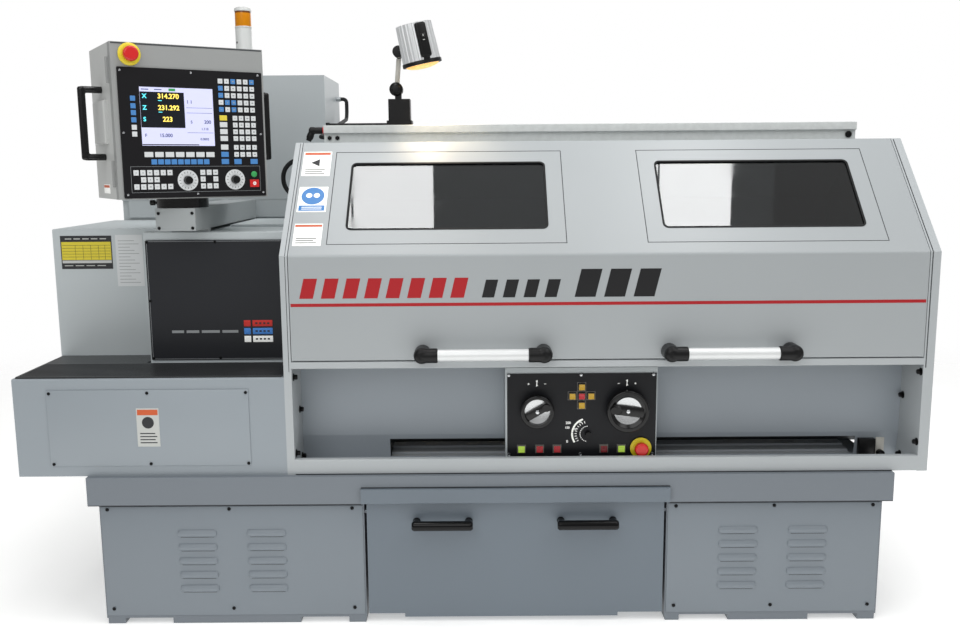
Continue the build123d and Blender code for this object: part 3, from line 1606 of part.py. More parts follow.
with BuildPart() as console_box:
    box_y = (console_front_depth + slide_gap, console_depth)
    with BuildSketch(console_plane):
        console_rectangle((0, console_width), box_y)
    extrude(amount=console_height)
    with BuildSketch(console_plane.offset(console_sheet)):
        console_rectangle((console_sheet, console_width - console_sheet), (box_y[0], box_y[1] - console_sheet))
    extrude(amount=console_height - 2 * console_sheet, mode=Mode.SUBTRACT)
    with BuildSketch(Plane(origin=(*ring_centre, arm_box_z[1] + slide_gap), z_dir=(0, 0, 1))):
        Circle(ring_bore)
    extrude(amount=console_bottom + console_sheet - arm_box_z[1] - slide_gap)
    for low, high in console_hinge_spans:
        with BuildSketch(console_plane.offset(low)):
            console_rectangle((-hinge_leaf, 0), hinge_leaf_reach)
        extrude(amount=high - low)
    with BuildSketch(console_plane.offset(pocket_z[0])):
        console_rectangle((-pocket_depth, 0), pocket_y)
    extrude(amount=width(pocket_z))
    fillet(edges().group_by(Axis(console_plane.origin, console_plane.x_dir))[0], radius=pocket_round)
console_box.part.label = "console_box"
export_step(console_box.part, "parts/console_box.step")


def console_point(x, y, z):
    """A point of the console's own plan as a point of the machine."""
    return console_plane.from_local_coords((x, y, z))


# Two tube handles on the console's sides
with BuildPart() as console_handles:
    for side_x, outwards in ((0, -1), (console_width, 1)):
        reach_x = side_x + outwards * console_grip_stand
        with BuildLine() as grip_route:
            FilletPolyline(
                console_point(side_x, console_grip_back, console_grip_low),
                console_point(reach_x, console_grip_back, console_grip_low),
                console_point(reach_x, console_grip_back, console_grip_high),
                console_point(side_x, console_grip_back, console_grip_high),
                radius=2 * console_grip_radius,
            )
        start = console_point(side_x, console_grip_back, console_grip_low)
        heading = console_plane.x_dir * outwards
        with BuildSketch(Plane(origin=start, z_dir=heading)):
            Circle(console_grip_radius)
        sweep(path=grip_route.wire())
console_handles.part.label = "console_handles"
export_step(console_handles.part, "parts/console_handles.step")

# Hinged console front: a folded pan, with a collar seat for the emergency stop
stop_on_face = (console_plate_low[0] + console_stop_place[0], console_plate_low[1] + console_stop_place[1])
with BuildPart() as console_front:
    with BuildSketch(console_plane):
        console_rectangle((0, console_width), (0, console_front_depth))
    extrude(amount=console_height)
    with BuildSketch(console_plane.offset(console_sheet)):
        console_rectangle((console_sheet, console_width - console_sheet), (console_sheet, console_front_depth))
    extrude(amount=console_height - 2 * console_sheet, mode=Mode.SUBTRACT)
    with BuildSketch(console_face):
        with Locations(stop_on_face):
            Circle(stop_collar_radius)
    extrude(amount=stop_collar_height)
    with BuildSketch(console_face.offset(stop_collar_height)):
        with Locations(stop_on_face):
            Circle(stop_neck_radius + slide_gap)
        with Locations(*[(console_plate_low[0] + x, console_plate_low[1] + z) for x, z in selector_places]):
            Circle(shank_radius / 2 + slide_gap)
    extrude(amount=-stop_collar_height - console_sheet, mode=Mode.SUBTRACT)
    for low, high in console_hinge_spans:
        with BuildSketch(console_plane.offset(low)):
            with Locations(console_hinge_xy):
                Circle(hinge_barrel)
            console_rectangle((console_hinge_xy[0], console_sheet), (console_hinge_xy[1] - hinge_barrel, console_front_depth))
        extrude(amount=high - low)
console_front.part.label = "console_front"
export_step(console_front.part, "parts/console_front.step")

with BuildPart() as console_plate:
    with BuildSketch(console_face):
        with Locations(
            (
                console_plate_low[0] + console_plate_size[0] / 2,
                console_plate_low[1] + console_plate_size[1] / 2,
            )
        ):
            RectangleRounded(*console_plate_size, 3)
    extrude(amount=console_plate_sheet)
    with BuildSketch(plate_front_plane):
        with Locations(
            (
                console_plate_low[0] + screen_low[0] + screen_size[0] / 2,
                console_plate_low[1] + screen_low[1] + screen_size[1] / 2,
            )
        ):
            Rectangle(*screen_size)
    extrude(amount=-screen_recess, mode=Mode.SUBTRACT)
    with BuildSketch(plate_front_plane):
        with Locations(*[(console_plate_low[0] + x, console_plate_low[1] + z) for x, z in selector_places]):
            Circle(shank_radius / 2 + slide_gap)
    extrude(amount=-console_plate_sheet, mode=Mode.SUBTRACT)
console_plate.part.label = "console_plate"
export_step(console_plate.part, "parts/console_plate.step")

for number, place in enumerate(selector_places, start=1):
    with BuildPart() as selector_knob:
        knob_base = plate_front_plane.offset(slide_gap)
        knob_place = (console_plate_low[0] + place[0], console_plate_low[1] + place[1])
        with BuildSketch(knob_base):
            with Locations(knob_place):
                Circle(selector_radius)
        extrude(amount=selector_height, taper=4)
        with BuildSketch(knob_base):
            with Locations(knob_place):
                Circle(shank_radius / 2)
        extrude(amount=-shank_depth / 2)
    selector_knob.part.label = f"selector_knob_{number}"
    export_step(selector_knob.part, f"parts/selector_knob_{number}.step")

stop_origin = console_face.from_local_coords((*stop_on_face, 0))
console_stop_plane = Plane(origin=stop_origin, x_dir=console_face.x_dir, z_dir=console_face.z_dir)
console_stop_shape = stop_head(console_stop_plane, stop_collar_height)
with BuildPart() as console_stop:
    add(console_stop_shape)
console_stop.part.label = "console_stop"
export_step(console_stop.part, "parts/console_stop.step")

# Work lamp: base box, forked stem and fluted shade
lamp_front = lamp_y - lamp_base_depth / 2
with BuildPart() as lamp_base:
    slab(lamp_base_span, (lamp_front, lamp_front + lamp_base_depth), (beam_top, lamp_base_top))
    fillet(lamp_base.edges().filter_by(Axis.Z), radius=4)
    slab(
        (lamp_base_span[0] - lamp_flange, lamp_base_span[1] + lamp_flange),
        (lamp_front - lamp_flange, lamp_front + lamp_base_depth + lamp_flange),
        (beam_top, beam_top + lamp_flange_height),
    )
    with BuildSketch(Plane.XZ.offset(-lamp_y)):
        with Locations(lamp_joint):
            Circle(lamp_joint_radius)
        post_middle = (lamp_joint[1] + lamp_base_top) / 2
        with Locations((lamp_joint[0] + 6, post_middle)):
            Rectangle(20, lamp_joint[1] - lamp_base_top)
    extrude(amount=lamp_joint_width)
lamp_base.part.label = "lamp_base"
export_step(lamp_base.part, "parts/lamp_base.step")

stem_direction = Vector(lamp_elbow[0] - lamp_joint[0], 0, lamp_elbow[1] - lamp_joint[1])
joint_back = lamp_y + lamp_joint_gap
with BuildPart() as lamp_stem:
    with BuildSketch(Plane.XZ.offset(-joint_back)):
        with Locations(lamp_joint):
            Circle(lamp_joint_radius)
    extrude(amount=-lamp_joint_width)
    stem_y = joint_back + lamp_joint_width / 2
    with BuildSketch(Plane(origin=(lamp_joint[0], stem_y, lamp_joint[1]), z_dir=stem_direction)):
        Circle(stem_radius)
    extrude(amount=stem_direction.length)
    with BuildSketch(Plane.XZ.offset(-joint_back)):
        with Locations(lamp_elbow):
            Circle(elbow_radius)
    extrude(amount=-lamp_joint_width)
lamp_stem.part.label = "lamp_stem"
export_step(lamp_stem.part, "parts/lamp_stem.step")

shade_bottom_centre = (shade_bottom[0], shade_y, shade_bottom[1])
shade_top_centre = (shade_top[0], shade_y + shade_lean, shade_top[1])
shade_axis = Vector(*shade_top_centre) - Vector(*shade_bottom_centre)
shade_length = shade_axis.length
shade_plane = Plane(origin=shade_bottom_centre, z_dir=shade_axis)
shade_taper = math.degrees(math.atan2(shade_bottom_radius - shade_top_radius, shade_length))
elbow_centre = Vector(lamp_elbow[0], joint_back - lamp_joint_gap - elbow_width / 2, lamp_elbow[1])
shade_middle = (Vector(*shade_bottom_centre) + Vector(*shade_top_centre)) * 0.5
link_direction = shade_middle - elbow_centre
with BuildPart() as lamp_head:
    for height, radius in ((bezel_height, shade_bottom_radius), (shade_length, shade_top_radius)):
        with BuildSketch(shade_plane.offset(height)):
            Circle(radius)
            with PolarLocations(radius + flute_radius - flute_depth, flute_count):
                Circle(flute_radius, mode=Mode.SUBTRACT)
    loft(ruled=True)
    with BuildSketch(shade_plane):
        Circle(shade_bottom_radius + bezel_proud)
    extrude(amount=bezel_height)
    with BuildSketch(shade_plane):
        Circle(shade_bottom_radius - shade_wall)
    extrude(amount=shade_length - shade_wall, taper=shade_taper, mode=Mode.SUBTRACT)
    with BuildSketch(shade_plane.offset(lens_setback)):
        Circle(shade_bottom_radius)
    extrude(amount=lens_thickness)
    with BuildSketch(Plane.XZ.offset(-(joint_back - lamp_joint_gap))):
        with Locations(lamp_elbow):
            Circle(elbow_radius)
    extrude(amount=elbow_width)
    with BuildSketch(Plane(origin=elbow_centre, z_dir=link_direction)):
        Circle(link_radius)
    extrude(amount=link_direction.length - shade_bottom_radius + 2 * shade_wall)
lamp_head.part.label = "lamp_head"
export_step(lamp_head.part, "parts/lamp_head.step")

# Conduit, lamp cable with its small gland on the beam, all held at both ends
cable_z = beam_top + cable_radius
with BuildPart() as beam_cables:
    with BuildLine() as conduit_route:
        FilletPolyline(
            (cabinet_span[1] + gland_length, gland_y, gland_z),
            (conduit_x, gland_y, gland_z),
            (conduit_x, gland_y, conduit_drop_z),
            (conduit_x, conduit_y, conduit_low_z),
            (conduit_entry_x, conduit_y, conduit_low_z),
            (conduit_entry_x, beam_back, conduit_low_z),
            radius=conduit_bends,
        )
    with BuildSketch(Plane(origin=(cabinet_span[1] + gland_length, gland_y, gland_z), z_dir=(1, 0, 0))):
        Circle(conduit_radius)
    sweep(path=conduit_route.wire())
    with BuildSketch(Plane(origin=(cable_start_x, lamp_y, cable_z), z_dir=(1, 0, 0))):
        Circle(cable_radius)
    extrude(amount=lamp_base_span[0] - lamp_flange - cable_start_x)
    with BuildSketch(Plane(origin=(cable_start_x, lamp_y, beam_top), z_dir=(0, 0, 1))):
        Circle(cable_gland_radius)
    extrude(amount=cable_gland_length)
    hose_start = guard_left - slide_gap
    hose_side = hose_start - hose_reach
    with BuildLine() as hose_route:
        FilletPolyline(
            (hose_start, hose_y, hose_span_z[0]),
            (hose_side, hose_y, hose_span_z[0]),
            (hose_side, hose_y, hose_span_z[1]),
            (hose_start, hose_y, hose_span_z[1]),
            radius=hose_bend,
        )
    with BuildSketch(Plane(origin=(hose_start, hose_y, hose_span_z[0]), z_dir=(-1, 0, 0))):
        Circle(hose_radius)
    sweep(path=hose_route.wire())
beam_cables.part.label = "beam_cables"
export_step(beam_cables.part, "parts/beam_cables.step")
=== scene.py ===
"""Looks of a CNC teach-in lathe: finishes, trim, controls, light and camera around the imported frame.

Sizes are written in millimetres and turned into metres where a mesh is made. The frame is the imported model's:
+X to the right along the bed, +Y to the back, +Z up.
"""

import logging
import math
from collections.abc import Callable, Iterable, Iterator, Sequence
from contextlib import contextmanager
from dataclasses import dataclass
from enum import Enum
from functools import partial

import bpy
from mathutils import Matrix, Vector


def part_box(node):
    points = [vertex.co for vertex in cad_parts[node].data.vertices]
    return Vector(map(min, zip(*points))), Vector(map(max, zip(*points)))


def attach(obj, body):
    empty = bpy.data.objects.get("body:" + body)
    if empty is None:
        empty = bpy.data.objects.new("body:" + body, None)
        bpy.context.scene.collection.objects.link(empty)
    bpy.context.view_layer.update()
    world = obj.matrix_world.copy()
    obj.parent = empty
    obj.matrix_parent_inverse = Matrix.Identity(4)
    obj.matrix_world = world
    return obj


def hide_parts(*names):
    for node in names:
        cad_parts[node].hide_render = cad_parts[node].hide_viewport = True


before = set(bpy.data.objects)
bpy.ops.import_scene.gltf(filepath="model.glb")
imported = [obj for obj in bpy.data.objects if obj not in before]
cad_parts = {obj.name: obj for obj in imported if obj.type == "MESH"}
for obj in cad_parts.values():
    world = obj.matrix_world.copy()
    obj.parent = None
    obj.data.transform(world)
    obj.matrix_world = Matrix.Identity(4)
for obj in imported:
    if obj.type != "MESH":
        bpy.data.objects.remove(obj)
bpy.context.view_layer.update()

logging.basicConfig(level=logging.INFO, format="%(name)s: %(message)s")
log = logging.getLogger("lathe")

MM = 0.001
FRONT = -589.4
FINISH_MARK = "finish_"
COAT_ROUGHNESS = 0.15
GLOSS_SWING = 0.06
RELIEF_DEPTH = 0.0008
SMOOTH_ANGLE = math.radians(32)
PLATE_LAYER = (0.1, 0.7)
PRINT_LAYER = (0.7, 0.9)
INK_LAYER = (0.1, 0.3)

Point = tuple[float, float, float]
Ring = tuple[float, float]
Value = float | Sequence[float]
Piece = bpy.types.Object


class Grain(Enum):
    """The fine relief of a finish."""

    PEEL = "orange peel of sprayed enamel"
    BRUSHED = "long scratches of ground steel"
    MOULDED = "fine spark texture of a moulding"
    CAST = "coarse skin of a casting"
    HAMMERED = "dimples of hammered enamel"
    SMOOTH = "no relief to speak of"


GRAIN_SCALES: dict[Grain, Point] = {
    Grain.PEEL: (420.0, 420.0, 420.0),
    Grain.BRUSHED: (25.0, 1400.0, 1400.0),
    Grain.MOULDED: (1500.0, 1500.0, 1500.0),
    Grain.CAST: (180.0, 180.0, 180.0),
    Grain.HAMMERED: (110.0, 110.0, 110.0),
    Grain.SMOOTH: (60.0, 60.0, 60.0),
}


def linear(colour: Sequence[float]) -> tuple[float, float, float, float]:
    """Turns a colour of 0 to 255 as a screen shows it into the linear values that a shader takes.

    Args:
        colour: Red, green and blue, each from 0 to 255.

    Returns:
        Linear red, green and blue with an alpha of 1.
    """
    shares = [value / 255 for value in colour]
    tones = [share / 12.92 if share <= 0.04045 else ((share + 0.055) / 1.055) ** 2.4 for share in shares]
    return (tones[0], tones[1], tones[2], 1.0)


def set_inputs(node: bpy.types.Node, **values: Value) -> bpy.types.Node:
    """Sets a node's inputs, each named in lower case with underscores for its spaces.

    Args:
        node: The node.
        **values: The value of each input.

    Returns:
        The same node.
    """
    names: dict[str, bpy.types.NodeSocket] = {}
    for socket in node.inputs:
        names.setdefault(socket.name.lower().replace(" ", "_"), socket)
    for name, value in values.items():
        names[name].default_value = value
    return node


def new_surface(name: str) -> tuple[bpy.types.Material, bpy.types.Node, bpy.types.Node]:
    """Starts a material.

    Args:
        name: Its name.

    Returns:
        The material, its surface shader and its texture coordinates.
    """
    made = bpy.data.materials.new(name)
    made.use_nodes = True
    nodes = made.node_tree.nodes
    return made, nodes["Principled BSDF"], nodes.new("ShaderNodeTexCoord")


@dataclass(frozen=True)
class Finish:
    """A surface with colour drift, uneven gloss and fine relief, made once and shared by its pieces."""

    name: str
    colour: Point
    roughness: float = 0.45
    metallic: float = 0.0
    grain: Grain = Grain.PEEL
    relief: float = 0.06
    drift: float = 0.04
    drift_scale: float = 2.2
    glow: float = 0.0
    coat: float = 0.0
    shine: float = 0.5

    def material(self) -> bpy.types.Material:
        """Builds the finish's material, or finds it if it was built before.

        Returns:
            The shared material.
        """
        known = bpy.data.materials.get(FINISH_MARK + self.name)
        if known:
            return known
        made, shader, place = new_surface(FINISH_MARK + self.name)
        nodes, links = made.node_tree.nodes, made.node_tree.links
        set_inputs(shader, metallic=self.metallic, coat_weight=self.coat, coat_roughness=COAT_ROUGHNESS)
        set_inputs(shader, specular_ior_level=self.shine)
        broad = set_inputs(nodes.new("ShaderNodeTexNoise"), scale=self.drift_scale, detail=4.0)
        links.new(place.outputs["Object"], broad.inputs["Vector"])
        tones = nodes.new("ShaderNodeMix")
        tones.data_type = "RGBA"
        base = linear(self.colour)
        for socket, share in (("A", 1 - self.drift), ("B", 1 + self.drift)):
            tones.inputs[socket].default_value = tuple(min(1.0, c * share) for c in base[:3]) + (1.0,)
        links.new(broad.outputs["Fac"], tones.inputs["Factor"])
        links.new(tones.outputs["Result"], shader.inputs["Base Color"])
        dull, bright = max(0.02, self.roughness - GLOSS_SWING), min(1.0, self.roughness + GLOSS_SWING)
        gloss = set_inputs(nodes.new("ShaderNodeMapRange"), to_min=dull, to_max=bright)
        links.new(broad.outputs["Fac"], gloss.inputs["Value"])
        links.new(gloss.outputs["Result"], shader.inputs["Roughness"])
        if self.glow:
            set_inputs(shader, emission_color=base, emission_strength=self.glow)
        self.add_relief(made.node_tree, place, shader)
        return made

    def add_relief(self, tree: bpy.types.NodeTree, place: bpy.types.Node, shader: bpy.types.Node) -> None:
        """Adds the fine bump of the finish's grain.

        Args:
            tree: The material's node tree.
            place: Its texture coordinates.
            shader: Its surface shader.
        """
        stretch = set_inputs(tree.nodes.new("ShaderNodeMapping"), scale=GRAIN_SCALES[self.grain])
        fine = set_inputs(tree.nodes.new("ShaderNodeTexNoise"), scale=1.0, detail=2.0)
        bump = set_inputs(tree.nodes.new("ShaderNodeBump"), strength=self.relief, distance=RELIEF_DEPTH)
        tree.links.new(place.outputs["Object"], stretch.inputs["Vector"])
        tree.links.new(stretch.outputs["Vector"], fine.inputs["Vector"])
        tree.links.new(fine.outputs["Fac"], bump.inputs["Height"])
        tree.links.new(bump.outputs["Normal"], shader.inputs["Normal"])


@dataclass(frozen=True)
class ClearGlass:
    """Clear laminated glass with a faint tint."""

    name: str = "window_glass"
    tint: Point = (84, 90, 92)
    ior: float = 1.8
    roughness: float = 0.02
    smear_span: Ring = (0.45, 0.85)

    def material(self) -> bpy.types.Material:
        """Builds the glass, or finds it if it was built before.

        Returns:
            The shared material.
        """
        known = bpy.data.materials.get(FINISH_MARK + self.name)
        if known:
            return known
        made, shader, place = new_surface(FINISH_MARK + self.name)
        nodes, links = made.node_tree.nodes, made.node_tree.links
        set_inputs(shader, base_color=linear(self.tint), transmission_weight=1.0, ior=self.ior)
        smear = set_inputs(nodes.new("ShaderNodeTexNoise"), scale=9.0, detail=5.0)
        haze = set_inputs(nodes.new("ShaderNodeMapRange"), from_min=self.smear_span[0], from_max=self.smear_span[1])
        set_inputs(haze, to_min=self.roughness, to_max=self.roughness + 0.1)
        links.new(place.outputs["Object"], smear.inputs["Vector"])
        links.new(smear.outputs["Fac"], haze.inputs["Value"])
        links.new(haze.outputs["Result"], shader.inputs["Roughness"])
        return made


enamel = partial(Finish, relief=0.05)
smooth = partial(Finish, grain=Grain.SMOOTH, relief=0.02)
keycap = partial(Finish, grain=Grain.MOULDED, relief=0.03)
screen = partial(Finish, roughness=0.2, grain=Grain.SMOOTH, relief=0.01)

MACHINE_GREY = enamel("enamel_machine", (192, 199, 201), roughness=0.38)
# The housing, cover and base greys are darker, slightly bluer copies of the machine's one grey enamel: painted shade on
# the lower parts, darkest nearest the floor.
HOUSING_GREY_PAINTED_SHADE = enamel("enamel_housing", (150, 158, 164), roughness=0.38)
COVER_GREY_PAINTED_SHADE = Finish("enamel_cover", (126, 134, 141), roughness=0.42, relief=0.06)
BASE_GREY_PAINTED_SHADE = Finish("enamel_base", (117, 124, 131), roughness=0.42, relief=0.06)
INNER_GREY = enamel("enamel_inner", (160, 168, 175), roughness=0.40)
GUARD_GREY = enamel("enamel_guard", (178, 183, 185), roughness=0.38)
# The tank grey is a darker copy of the machine's grey enamel: painted shade on the coolant drawer low down.
TANK_GREY_PAINTED_SHADE = Finish("enamel_tank", (109, 119, 128), roughness=0.42, relief=0.06)
SLIDE_GREY = Finish("enamel_slides", (150, 156, 160), roughness=0.42, relief=0.08, grain=Grain.CAST)
CONSOLE_GREY = enamel("enamel_console", (196, 198, 196), roughness=0.4)
DOOR_GREY = enamel("enamel_door", (167, 172, 174), roughness=0.36)
FRONT_GREY = enamel("enamel_front", (152, 154, 153), roughness=0.4)
ARM_GREY = enamel("enamel_arm", (158, 163, 164), roughness=0.4)
BEAM_GREY = Finish(
    "enamel_hammered", (204, 208, 207), roughness=0.4, relief=0.35, grain=Grain.HAMMERED, drift=0.12, drift_scale=60.0
)
COVER_STRIP = enamel("way_strip_grey", (176, 181, 186), roughness=0.4)
CHUCK_STEEL = Finish("chuck_steel", (150, 152, 154), roughness=0.3, metallic=1.0, grain=Grain.BRUSHED, relief=0.08)
BEZEL_STEEL = smooth("bezel_steel", (116, 114, 108), roughness=0.35)
LABEL_PALE = smooth("label_pale", (196, 198, 194), roughness=0.5)
LABEL_GREY = smooth("label_grey", (150, 154, 156), roughness=0.5)
CHIP_RED = smooth("chip_red", (214, 44, 36), roughness=0.4)
CHIP_BLUE = smooth("chip_blue", (72, 142, 226), roughness=0.4)
CABINET_GREY = enamel("enamel_cabinet", (172, 178, 180), roughness=0.4)
PANEL_BLACK = Finish("panel_black", (17, 16, 19), roughness=0.45, relief=0.05, grain=Grain.MOULDED, shine=0.25)
SCREEN_CYAN = screen("screen_cyan", (90, 214, 226), glow=0.9)
BLACK_PLATE = Finish("plate_black", (18, 19, 23), roughness=0.42, relief=0.1, grain=Grain.MOULDED, shine=0.3)
RANGE_PLATE = Finish("plate_range", (30, 32, 37), roughness=0.4, relief=0.1, grain=Grain.MOULDED, shine=0.4)
BLACK_PLASTIC = Finish("plastic_black", (13, 13, 14), roughness=0.36, relief=0.10, grain=Grain.MOULDED, shine=0.3)
BLACK_GLOSS = Finish("plastic_gloss", (9, 9, 10), roughness=0.2, relief=0.04, grain=Grain.MOULDED, shine=0.45)
GRIP_BLACK = Finish("grip_black", (5, 5, 6), roughness=0.16, relief=0.03, grain=Grain.MOULDED, shine=0.25)
BLACK_RUBBER = Finish(
    "rubber_black", (28, 29, 30), roughness=0.62, relief=0.3, grain=Grain.MOULDED, drift=0.12, shine=0.3
)
MAT_RUBBER = Finish(
    "rubber_mat", (45, 47, 49), roughness=0.34, relief=0.25, grain=Grain.MOULDED, drift=0.2, drift_scale=4.0
)
BLACK_STEEL = smooth("screw_black", (14, 14, 15), roughness=0.32, metallic=0.6)
BRIGHT_STEEL = Finish("steel_ground", (178, 180, 182), roughness=0.28, metallic=1.0, grain=Grain.BRUSHED, relief=0.10)
CHROME = Finish("chrome", (214, 216, 218), roughness=0.12, metallic=1.0, grain=Grain.SMOOTH, relief=0.01)
DISH_BRIGHT = smooth("dish_bright", (214, 216, 217), roughness=0.26, metallic=0.75)
CAST_GREY = Finish("cast_iron", (96, 99, 101), roughness=0.5, metallic=0.7, grain=Grain.CAST, relief=0.12)
ALUMINIUM = Finish("aluminium_satin", (236, 238, 239), roughness=0.3, metallic=0.7, grain=Grain.BRUSHED, relief=0.05)
TUBE_WHITE = smooth("tube_anodised", (228, 230, 230), roughness=0.34, metallic=0.25)
# White labels and marks glow faintly: painted light, as they are no lamp.
LABEL_WHITE_PAINTED_GLOW = smooth("label_white", (244, 245, 242), roughness=0.45, drift=0.02, glow=0.2)
LABEL_BLUE = smooth("label_blue", (58, 128, 196), roughness=0.4)
LABEL_ORANGE = smooth("label_orange", (206, 92, 46), roughness=0.4)
LABEL_YELLOW = smooth("label_yellow", (222, 205, 60), roughness=0.4)
LABEL_INK = smooth("label_ink", (40, 41, 44), roughness=0.5)
SEAM_DARK = smooth("seam_dark", (62, 65, 68), roughness=0.6)
STRIPE_RED = smooth("stripe_red", (172, 22, 30), roughness=0.35)
STRIPE_BLACK = smooth("stripe_black", (20, 20, 22), roughness=0.35)
STOP_RED = smooth("stop_red", (208, 28, 26), roughness=0.28, coat=0.3)
STOP_YELLOW = smooth("stop_yellow", (228, 206, 38), roughness=0.35)
LENS_RED = smooth("lens_red", (184, 44, 52), roughness=0.25)
LENS_DARK_RED = smooth("lens_dark_red", (120, 22, 30), roughness=0.2)
LENS_GREEN = smooth("lens_green", (180, 216, 76), roughness=0.25, glow=0.2)
LENS_AMBER = smooth("lens_amber", (194, 156, 46), roughness=0.25)
BEACON_WHITE = smooth("beacon_white", (212, 214, 212), roughness=0.3)
BEACON_AMBER = smooth("beacon_amber", (212, 132, 2), roughness=0.3, glow=0.04, shine=0.3)
BEACON_BAND = smooth("beacon_band", (120, 66, 10), roughness=0.3)
STEM_GREY = Finish("stem_grey", (196, 194, 186), roughness=0.4, grain=Grain.SMOOTH, relief=0.03)
KEY_WHITE = keycap("key_white", (214, 217, 218), roughness=0.5)
KEY_BLUE = keycap("key_blue", (70, 132, 196), roughness=0.5)
KEY_YELLOW = keycap("key_yellow", (226, 206, 66), roughness=0.5)
KEY_GREEN = keycap("key_green", (52, 160, 84), roughness=0.45)
SCREEN_LIGHT = screen("screen_light", (190, 192, 222), glow=0.55)
SCREEN_BLUE = screen("screen_blue", (62, 72, 128), glow=0.2)
SCREEN_DARK = screen("screen_dark", (12, 16, 26))
SCREEN_AMBER = screen("screen_amber", (246, 214, 96), glow=1.0)
LAMP_WARM = smooth("lamp_warm", (240, 184, 104), roughness=0.3, glow=0.8)
RED_RING = smooth("ring_red", (196, 40, 44), roughness=0.35)
FLOOR_PALE = Finish("floor_pale", (250, 250, 249), roughness=0.7, grain=Grain.CAST, relief=0.02, drift=0.01, glow=0.4)
GLASS = ClearGlass()
AnyFinish = Finish | ClearGlass


# Modelling moves that the sub-assemblies share


def pick(obj: Piece) -> None:
    """Makes a piece the only selected and active object.

    Args:
        obj: The piece.
    """
    bpy.ops.object.select_all(action="DESELECT")
    obj.select_set(True)
    bpy.context.view_layer.objects.active = obj


@contextmanager
def editing(obj: Piece) -> Iterator[None]:
    """Holds a piece in edit mode for the moves inside the with block.

    Args:
        obj: The piece.

    Yields:
        Nothing: the piece is in edit mode.
    """
    pick(obj)
    bpy.ops.object.mode_set(mode="EDIT")
    yield
    bpy.ops.object.mode_set(mode="OBJECT")


def choose_faces(obj: Piece, test: Callable[[Vector, Vector], bool]) -> None:
    """Selects the faces that pass a test, ready for edit mode.

    Args:
        obj: The mesh piece, in object mode.
        test: Takes a face's centre and normal and says whether it is wanted.
    """
    mesh = obj.data
    for vertex in mesh.vertices:
        vertex.select = False
    for edge in mesh.edges:
        edge.select = False
    for face in mesh.polygons:
        face.select = test(face.center, face.normal)
    bpy.context.tool_settings.mesh_select_mode = (False, False, True)


def settle(obj: Piece) -> Piece:
    """Moves a piece's place, turn and size into its mesh.

    Args:
        obj: The piece.

    Returns:
        The same piece.
    """
    pick(obj)
    bpy.ops.object.transform_apply(location=True, rotation=True, scale=True)
    return obj


def soften(obj: Piece, width: float, segments: int = 2, angle: float = 35.0) -> Piece:
    """Rounds obj's sharp edges with a bevel modifier and applies it.

    Args:
        obj: The mesh piece.
        width: The bevel's width, in millimetres.
        segments: How many faces round each edge.
        angle: Edges sharper than this many degrees are rounded.

    Returns:
        The same piece.
    """
    pick(obj)
    bevel = obj.modifiers.new("soften", "BEVEL")
    bevel.width = width * MM
    bevel.segments = segments
    bevel.limit_method = "ANGLE"
    bevel.angle_limit = math.radians(angle)
    bpy.ops.object.modifier_apply(modifier=bevel.name)
    bpy.ops.object.shade_smooth_by_angle(angle=SMOOTH_ANGLE)
    return obj


def block(name: str, low: Point, high: Point, bevel: float = 0.0, segments: int = 2) -> Piece:
    """A rectangular piece between two corners, with rounded edges.

    Args:
        name: The piece's name.
        low: Its lowest corner.
        high: Its highest corner.
        bevel: The rounding of its edges.
        segments: Faces round each edge.

    Returns:
        The new piece.
    """
    bpy.ops.object.select_all(action="DESELECT")
    centre = [(a + b) / 2 * MM for a, b in zip(low, high)]
    bpy.ops.mesh.primitive_cube_add(size=1, location=centre)
    obj = bpy.context.object
    obj.name = name
    obj.scale = [(b - a) * MM for a, b in zip(low, high)]
    settle(obj)
    return soften(obj, bevel, segments) if bevel else obj


def turned(name: str, rings: Sequence[Ring], sides: int = 32, bevel: float = 0.0) -> Piece:
    """A round piece built up along local Z: a disc that is extruded and resized ring by ring.

    Args:
        name: The piece's name.
        rings: Radius and height of each ring, from the bottom.
        sides: Faces round the piece.
        bevel: The rounding of its edges.

    Returns:
        The new piece, standing on the origin.
    """
    bpy.ops.object.select_all(action="DESELECT")
    radius, height = rings[0]
    spot = (0, 0, height * MM)
    bpy.ops.mesh.primitive_circle_add(vertices=sides, radius=radius * MM, fill_type="NGON", location=spot)
    obj = bpy.context.object
    obj.name = name
    settle(obj)
    with editing(obj):
        bpy.context.tool_settings.mesh_select_mode = (True, False, False)
        bpy.ops.mesh.select_all(action="SELECT")
        for next_radius, next_height in rings[1:]:
            rise = (next_height - height) * MM
            bpy.ops.mesh.extrude_region_move(TRANSFORM_OT_translate={"value": (0, 0, rise)})
            share = next_radius / radius
            bpy.ops.transform.resize(value=(share, share, 1), center_override=(0, 0, next_height * MM))
            radius, height = next_radius, next_height
        bpy.ops.mesh.select_all(action="SELECT")
        bpy.ops.mesh.normals_make_consistent(inside=False)
    if bevel:
        soften(obj, bevel, 2, 30)
    else:
        pick(obj)
        bpy.ops.object.shade_smooth_by_angle(angle=SMOOTH_ANGLE)
    return obj


def placed(obj: Piece, matrix: Matrix) -> Piece:
    """Puts a piece built at the origin in its place, and the place in its mesh.

    Args:
        obj: The piece.
        matrix: Where it goes.

    Returns:
        The same piece.
    """
    obj.matrix_world = matrix
    return settle(obj)


def copy_of(obj: Piece, name: str, matrix: Matrix) -> Piece:
    """A copy of a piece, with its own mesh, moved by matrix.

    Args:
        obj: The piece to copy, with its place in its mesh.
        name: The copy's name.
        matrix: Where it goes.

    Returns:
        The copy.
    """
    made = obj.copy()
    made.data = obj.data.copy()
    made.name = name
    bpy.context.scene.collection.objects.link(made)
    return placed(made, matrix)


def joined(name: str, parts: Sequence[Piece]) -> Piece:
    """Joins several pieces into one.

    Args:
        name: The name of the result.
        parts: The pieces to join.

    Returns:
        The joined piece.
    """
    pick(parts[0])
    for part in parts[1:]:
        part.select_set(True)
    if len(parts) > 1:
        bpy.ops.object.join()
    made = bpy.context.view_layer.objects.active
    made.name = name
    return made


